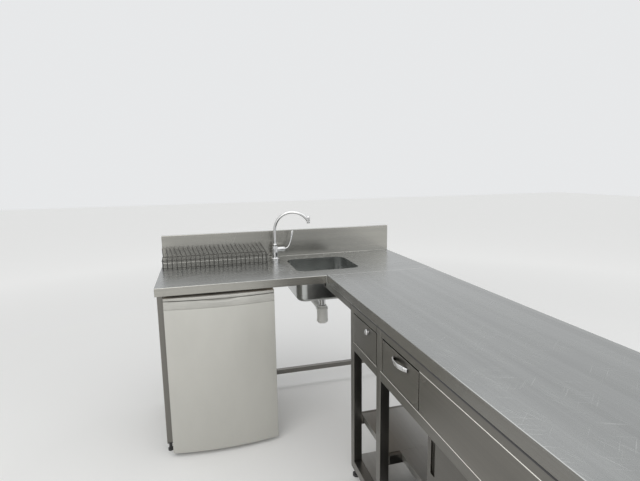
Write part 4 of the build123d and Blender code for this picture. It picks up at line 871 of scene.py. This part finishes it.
TRAP_CUP = (
    (AXIS, 0), (25, 0), (33, 7), (34, 12), (34, 22), (32.4, 24), (32.4, 84), (34, 86), (34, 96), (AXIS, 96),
)
TOP_NUT = ((20, 96), (25.5, 96), (27, 98), (27, 108), (25, 110), (20, 110))
SIDE_NUT = ((20, 30), (27, 32), (27, 54), (25, 58), (20, 58))
NUT_FLUTES = {"sides": 96, "flutes": 16, "flute_depth": 1.6 * MM}
OUTLET_HEIGHT = 82.0 * MM
OUTLET_START = 30
OUTLET_RADII = (18, 20)


def trap():
    """Bottle trap with fluted nuts and its outlet pipe."""
    lo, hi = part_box("sink_trap")
    x = (lo.x + hi.x) / 2
    y = lo.y + (hi.x - lo.x) / 2
    place = Matrix.Translation((x, y, lo.z))
    bottle = bmesh.new()
    lathe(bottle, turned(TRAP_CUP, corner=1.5), place)
    lathe(bottle, turned(TOP_NUT, corner=0.6, steps=2), place, **NUT_FLUTES)
    outlet = Matrix.Translation((x, y, lo.z + OUTLET_HEIGHT)) @ FACING["+y"]
    inner, outer = OUTLET_RADII
    length = (hi.y - y) / MM
    pipe = [(inner, OUTLET_START), (outer, OUTLET_START), (outer, length), (inner, length)]
    lathe(bottle, turned(pipe, corner=0.3, steps=2), outlet, around=True)
    lathe(bottle, turned(SIDE_NUT, corner=0.6, steps=2), outlet, **NUT_FLUTES)
    add_piece("trap_turned", bottle, WHITE_PLASTIC, replaced=["sink_trap"])


# Refrigerator's shelves

TRIM_CORNER = 3.0 * MM
TRIM_LO = Vector((0.5, -3.0, -3.0)) * MM
TRIM_HI = Vector((-0.5, 13.0, 2.0)) * MM
PULL_LO = Vector((60.0, -7.0, -16.0)) * MM
PULL_HI = Vector((-60.0, 0.0, -2.0)) * MM


def shelf_trims():
    """Rounded trims along the glass shelves' front edges, and the crisper's pull."""
    lo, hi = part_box("fridge_shelves")
    heights = levels("fridge_shelves", 2)
    trims = bmesh.new()
    for low, high in zip(heights[::2], heights[1::2]):
        start = Vector((lo.x, lo.y, low)) + TRIM_LO
        end = Vector((hi.x, lo.y, high)) + TRIM_HI
        rounded_bar(trims, start, end, TRIM_CORNER)
    add_piece("shelf_trims", trims, LINER_PLASTIC)

    lo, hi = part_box("fridge_crisper")
    pull = bmesh.new()
    start = Vector((lo.x, lo.y, hi.z)) + PULL_LO
    end = Vector((hi.x, lo.y, hi.z)) + PULL_HI
    rounded_bar(pull, start, end, TRIM_CORNER)
    add_piece("crisper_pull", pull, LINER_PLASTIC)


# Refrigerator's condenser

CONDENSER_ROWS = 10
CONDENSER_TUBE = 2.4 * MM
CONDENSER_MARGINS = 4.0 * MM
CONDENSER_WIRES = 24
UPRIGHT_INSET = 34.0 * MM
UPRIGHT_GAP = 0.7 * MM
UPRIGHT_RADIUS = 0.8 * MM
STAY_INSET = 12.0 * MM
STAY_HALF_WIDTH = 3.0 * MM
STAY_CORNER = 0.8 * MM

# Radius of the tube's bends, as a share of the pitch of its rows
CONDENSER_BEND = 0.47


def condenser():
    """One tube that turns back at each end, between upright wires, on two stays."""
    lo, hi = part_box("fridge_condenser")
    pitch = (hi.z - lo.z - CONDENSER_MARGINS) / (CONDENSER_ROWS - 1)
    y = hi.y - CONDENSER_TUBE
    corners = []
    for row in range(CONDENSER_ROWS):
        z = lo.z + CONDENSER_TUBE + row * pitch
        ends = [lo.x + CONDENSER_TUBE, hi.x - CONDENSER_TUBE]
        if row % 2:
            ends.reverse()
        corners += [(x, y, z) for x in ends]
    grid = bmesh.new()
    path = rounded_path(corners, pitch * CONDENSER_BEND, steps=8)
    loft(grid, tube_rings(path, CONDENSER_TUBE, sides=10, up=Vector((0, 1, 0))))
    wire_y = y - CONDENSER_TUBE - UPRIGHT_GAP
    for wire in range(CONDENSER_WIRES):
        x = lo.x + UPRIGHT_INSET + (hi.x - lo.x - 2 * UPRIGHT_INSET) * wire / (CONDENSER_WIRES - 1)
        straight_bar(grid, (x, wire_y, lo.z), (x, wire_y, hi.z), UPRIGHT_RADIUS, sides=6)
    for x in (lo.x + STAY_INSET, hi.x - STAY_INSET):
        start = (x - STAY_HALF_WIDTH, lo.y, lo.z)
        end = (x + STAY_HALF_WIDTH, y, hi.z)
        rounded_bar(grid, start, end, STAY_CORNER, axis=2)
    add_piece("condenser_grid", grid, BLACK_METAL, replaced=["fridge_condenser"])


# Refrigerator's compressor

TRAY_SHEET = 2.0 * MM
TRAY_CORNER = 0.4 * MM
ABOVE_TRAY = 10.0 * MM
CAN = (
    (AXIS, 14), (40, 14), (52, 24), (54, 60), (55, 62), (55, 66), (53.5, 68), (50, 96), (40, 112),
    (18, 121), (AXIS, 122),
)
RUBBER_FOOT = ((AXIS, 2), (9, 2), (7, 8), (9, 14), (9, 22), (AXIS, 22))
FOOT_COUNT = 4
FOOT_REACH = 46.0 * MM
TERMINAL_LO = Vector((-84.0, -20.0, 44.0)) * MM
TERMINAL_HI = Vector((-46.0, 20.0, 88.0)) * MM
TERMINAL_CORNER = 4.0 * MM
PIPE_PATH = ((30.0, 0.0, 96.0), (30.0, 0.0, 142.0), (100.0, 0.0, 142.0))
PIPE_BEND = 18.0 * MM
PIPE_RADIUS = 3.2 * MM


def compressor():
    """A domed can on rubber feet, with its terminal box and pipe, on a tray."""
    node = frame["nodes"]["fridge_compressor"]
    lo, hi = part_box("fridge_compressor")
    can = [vertex.co for vertex in node.data.vertices if vertex.co.z > lo.z + ABOVE_TRAY]
    x = (min(point.x for point in can) + max(point.x for point in can)) / 2
    y = (min(point.y for point in can) + max(point.y for point in can)) / 2
    centre = Vector((x, y, lo.z))
    place = Matrix.Translation(centre)
    shell = bmesh.new()
    rounded_bar(shell, lo, (hi.x, hi.y, lo.z + TRAY_SHEET), TRAY_CORNER)
    lathe(shell, turned(CAN, corner=3.0), place)
    for foot in range(FOOT_COUNT):
        angle = pi / 4 + 2 * pi * foot / FOOT_COUNT
        spot = place @ Matrix.Translation((FOOT_REACH * cos(angle), FOOT_REACH * sin(angle), 0))
        lathe(shell, turned(RUBBER_FOOT, corner=1.0), spot, sides=20)
    rounded_bar(shell, centre + TERMINAL_LO, centre + TERMINAL_HI, TERMINAL_CORNER)
    path = rounded_path([centre + Vector(point) * MM for point in PIPE_PATH], PIPE_BEND)
    loft(shell, tube_rings(path, PIPE_RADIUS, sides=12, up=Vector((0, 1, 0))))
    add_piece("compressor_can", shell, BLACK_METAL, replaced=["fridge_compressor"])


# Rivets of the cupboard's panels

RIVET_DOME = ((AXIS, 0), (3.3, 0), (2.7, 0.9), (1.4, 1.2), (AXIS, 1.3))
RIVET_INSET = 12.0 * MM
RIVET_PITCH = 0.14
BACK_RIVETS = 6


def rivets():
    """Domed rivet heads along the upright edges of the back and end panels."""
    heads = bmesh.new()
    dome = turned(RIVET_DOME, corner=0.25, steps=2)
    lo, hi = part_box("panel_end")
    edges = levels("panel_end", 2)
    for low, high in zip(edges[::2], edges[1::2]):
        count = max(2, round((high - low) / RIVET_PITCH))
        for row in range(count):
            z = low + RIVET_INSET + (high - low - 2 * RIVET_INSET) * row / (count - 1)
            for x in (lo.x + RIVET_INSET, hi.x - RIVET_INSET):
                lathe(heads, dome, Matrix.Translation((x, lo.y, z)) @ FACING["-y"], sides=16)
    lo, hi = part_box("panel_back")
    edges = levels("panel_back", 1)
    for low, high in zip(edges[::2], edges[1::2]):
        for row in range(BACK_RIVETS):
            z = lo.z + RIVET_INSET + (hi.z - lo.z - 2 * RIVET_INSET) * row / (BACK_RIVETS - 1)
            for y in (low + RIVET_INSET, high - RIVET_INSET):
                lathe(heads, dome, Matrix.Translation((hi.x, y, z)) @ FACING["+x"], sides=16)
    add_piece("panel_rivets", heads, GALVANISED)


# Pulls of the drawers

KNOB = ((AXIS, 0), (8.5, 0), (7, 2), (6.5, 6), (12.8, 7), (12.9, 10), (9, 14.2), (AXIS, 14.8))

# Half sizes of the bow's section at mid-length, in millimetres, and what its ends and collars change
BOW_THICK = 2.6
BOW_WIDE = 8.6
END_THICKER = 2.6
END_NARROWER = 1.6
COLLAR_THICKER = 1.1
COLLAR_WIDER = 0.3

# Where the collars sit along each half of the bow and how far they spread, as shares of that half
COLLAR_PLACES = (0.76, 0.87)
COLLAR_SPREAD = 0.022
BOW_END_INSET = 5.0 * MM
BOW_FLATNESS = 0.7
BOW_STEPS = 110
BOW_SIDES = 20


def pulls():
    """A turned knob, and a crowned bow handle with two collars at each end."""
    lo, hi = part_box("drawer_a_knob")
    place = Matrix.Translation((hi.x, (lo.y + hi.y) / 2, (lo.z + hi.z) / 2)) @ FACING["-x"]
    knob = bmesh.new()
    lathe(knob, turned(KNOB, corner=1.2, steps=5), place)
    add_piece("knob_turned", knob, CHROME, body="drawer_a", replaced=["drawer_a_knob"])

    lo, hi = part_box("drawer_b_handle")
    middle = Vector((hi.x, (lo.y + hi.y) / 2, (lo.z + hi.z) / 2))
    half = (hi.y - lo.y) / 2
    reach = hi.x - lo.x - BOW_THICK * MM
    rings = []
    for i in range(BOW_STEPS + 1):
        share = 2 * i / BOW_STEPS - 1
        collar = sum(exp(-((abs(share) - spot) / COLLAR_SPREAD) ** 2) for spot in COLLAR_PLACES)
        thick = (BOW_THICK + END_THICKER * abs(share) ** 3 + COLLAR_THICKER * collar) * MM
        wide = (BOW_WIDE - END_NARROWER * abs(share) ** 4 + COLLAR_WIDER * collar) * MM
        centre = middle + Vector((-reach * (1 - share * share), share * (half - BOW_END_INSET), 0))
        slope = Vector((2 * share * reach, half, 0)).normalized()
        outward = Vector((-slope.y, slope.x, 0))
        ring = []
        for k in range(BOW_SIDES):
            angle = 2 * pi * k / BOW_SIDES
            sign = 1 if cos(angle) >= 0 else -1
            across = Vector((0, 0, sign * wide * abs(cos(angle)) ** BOW_FLATNESS))
            ring.append(centre + across + outward * (thick * sin(angle)))
        rings.append(ring)
    bow = bmesh.new()
    loft(bow, rings)
    add_piece("handle_bow", bow, CHROME, body="drawer_b", replaced=["drawer_b_handle"])


# Weld, painted highlights and painted shadow

WELD_RADIUS = 1.5 * MM
WELD_SINK = 1.2 * MM
WELD_END_GAP = 4.0 * MM
UPRIGHT_WELD_RADIUS = 2.0 * MM
UPRIGHT_WELD_FOOT = 1.0 * MM
UPRIGHT_WELD_DROP = 2.0 * MM


def corner_weld():
    """Beads where the two folded tops and their fascias meet."""
    beads = bmesh.new()
    z = TOP - WELD_SINK
    start = (CORNER_X + WELD_END_GAP, CORNER_Y, z)
    end = (BACK_HI.x - WELD_END_GAP, CORNER_Y, z)
    straight_bar(beads, start, end, WELD_RADIUS)
    start = (CORNER_X, CORNER_Y, SERVE_LO.z + UPRIGHT_WELD_FOOT)
    end = (CORNER_X, CORNER_Y, TOP - UPRIGHT_WELD_DROP)
    straight_bar(beads, start, end, UPRIGHT_WELD_RADIUS)
    add_piece("corner_weld", beads, WELD_STEEL)


SEAM_RADIUS = 1.7 * MM
SEAM_SINK = 0.9 * MM
STILE_WIDTH = 19.0 * MM


def highlight_beads():
    """Bars of pale steel along the mid rail's upper edge and the fixed panel's: painted highlights, for the
    light that their folds catch.
    """
    lo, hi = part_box("panels_fixed")
    bay_lo, bay_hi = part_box("drawer_a_front")
    drawer_lo, drawer_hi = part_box("drawer_b_front")
    gap = hi.y - drawer_hi.y - STILE_WIDTH
    x = lo.x + SEAM_SINK
    beads = bmesh.new()
    for near, far, z in (
        (lo.y, drawer_lo.y - gap, hi.z),
        (lo.y, hi.y, lo.z - SEAM_SINK),
        (bay_lo.y - gap, bay_hi.y + gap, lo.z - SEAM_SINK),
    ):
        straight_bar(beads, (x, near, z), (x, far, z), SEAM_RADIUS)
    add_piece("highlight_beads", beads, HIGHLIGHT_STEEL)


# Painted shadow: a black strip stands where there is only the shadow under the fascia
SHADOW_STRIP_SETBACK = 2.0 * MM
SHADOW_STRIP_HEIGHT = 7.0 * MM
SHADOW_STRIP_ROUND = 1.5 * MM


def fascia_shadow_strip():
    """Painted shadow: a black strip in the corner under the serving top's fascia, along the frame's front,
    where the fascia's shadow falls.
    """
    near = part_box("posts")[0].y
    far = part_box("panel_back")[1].y
    start = (SERVE_LO.x + SHADOW_STRIP_SETBACK, near, SERVE_LO.z - SHADOW_STRIP_HEIGHT)
    end = (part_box("panels_fixed")[0].x, far, SERVE_LO.z)
    shadow_strip = bmesh.new()
    rounded_bar(shadow_strip, start, end, SHADOW_STRIP_ROUND, axis=1)
    add_piece("fascia_shadow_strip", shadow_strip, BLACK_PLASTIC)


# Stage, light and camera

PALE = (0.80, 0.80, 0.79)
FLOOR_SIZE = 20.0
FLOOR_GLOW = (0.08, 0.47)
GLOW_REACH = (1.6, 6.0)
WORLD_COLOR = (0.86, 0.87, 0.88)
WORLD_LIGHT = 0.5
WORLD_SEEN = 0.93

# Each light's name, place, target, size, power in watts and colour
LIGHTS = (
    ("top", (0.1, 0.0, 3.6), (0.1, 0.0, 0.8), 5.0, 75.0, (1.0, 1.0, 1.0)),
    ("key", (-2.6, -2.4, 2.9), (0.2, 0.2, 0.5), 3.2, 55.0, (1.0, 0.98, 0.95)),
    ("fill", (3.0, -1.6, 2.2), (0.3, 0.3, 0.8), 2.4, 25.0, (0.95, 0.97, 1.0)),
)

VIEW_PLACE = (-0.50119, -1.55830, 1.45127)
VIEW_TURN = radians(15.127)
VIEW_DIP = radians(8.967)
VIEW_ROLL = radians(-0.840)
VIEW_LENS = 24.87
VIEW_NEAREST = 0.02


def sees_backdrop(tree):
    """1 for rays from the camera, gloss or glass, which see the plain pale backdrop."""
    path = tree.nodes.new("ShaderNodeLightPath")
    seen = combine(tree, "MAXIMUM", path.outputs["Is Camera Ray"], path.outputs["Is Transmission Ray"])
    return combine(tree, "MAXIMUM", seen, path.outputs["Is Glossy Ray"])


def stage_floor():
    """A plain pale floor, which glows more with distance where it is seen."""
    mesh = bmesh.new()
    bmesh.ops.create_grid(mesh, x_segments=1, y_segments=1, size=FLOOR_SIZE)
    data = bpy.data.meshes.new("floor")
    mesh.to_mesh(data)
    mesh.free()
    floor = bpy.data.objects.new("floor", data)
    bpy.context.scene.collection.objects.link(floor)
    material, tree, shader = new_material("floor", PALE, roughness=0.85)
    cloud = noise(tree, scale=0.8, detail=2.0)
    tree.links.new(shaded(tree, cloud, PALE, dark=0.98, light=1.0), shader.inputs["Base Color"])
    shader.inputs["Emission Color"].default_value = (*PALE, 1.0)
    place = tree.nodes.new("ShaderNodeTexCoord")
    far = tree.nodes.new("ShaderNodeVectorMath")
    far.operation = "LENGTH"
    tree.links.new(place.outputs["Object"], far.inputs[0])
    glow = spread(tree, far.outputs["Value"], *FLOOR_GLOW, *GLOW_REACH)
    strength = combine(tree, "MULTIPLY", sees_backdrop(tree), glow)
    tree.links.new(strength, shader.inputs["Emission Strength"])
    data.materials.append(material)


def studio_world():
    """A plain world, brighter to look at than it lights."""
    world = bpy.data.worlds.new("studio")
    bpy.context.scene.world = world
    world.use_nodes = True
    tree = world.node_tree
    ground = tree.nodes["Background"]
    ground.inputs["Color"].default_value = (*WORLD_COLOR, 1.0)
    strength = spread(tree, sees_backdrop(tree), WORLD_LIGHT, WORLD_SEEN, 0.0, 1.0)
    tree.links.new(strength, ground.inputs["Strength"])


def lights():
    """A wide top light, a key from the front left and a weaker fill."""
    for name, place, target, size, energy, color in LIGHTS:
        light = bpy.data.lights.new(name, "AREA")
        light.shape = "SQUARE"
        light.size = size
        light.energy = energy
        light.color = color
        lamp = bpy.data.objects.new(name, light)
        lamp.location = place
        lamp.rotation_euler = (Vector(target) - Vector(place)).to_track_quat("-Z", "Y").to_euler()
        bpy.context.scene.collection.objects.link(lamp)


def camera():
    """The photograph's viewpoint."""
    data = bpy.data.cameras.new("view")
    data.lens = VIEW_LENS
    data.sensor_fit = "HORIZONTAL"
    data.clip_start = VIEW_NEAREST
    viewer = bpy.data.objects.new("view", data)
    turn = Matrix.Rotation(-VIEW_TURN, 4, "Z") @ Matrix.Rotation(pi / 2 - VIEW_DIP, 4, "X")
    viewer.matrix_world = Matrix.Translation(VIEW_PLACE) @ turn @ Matrix.Rotation(VIEW_ROLL, 4, "Z")
    bpy.context.scene.collection.objects.link(viewer)
    bpy.context.scene.camera = viewer


finish_nodes()
plate_rack()
tap()
sink()
waste()
trap()
shelf_trims()
condenser()
compressor()
rivets()
pulls()
corner_weld()
highlight_beads()
fascia_shadow_strip()
stage_floor()
studio_world()
lights()
camera()
bpy.context.scene.view_settings.view_transform = "Standard"
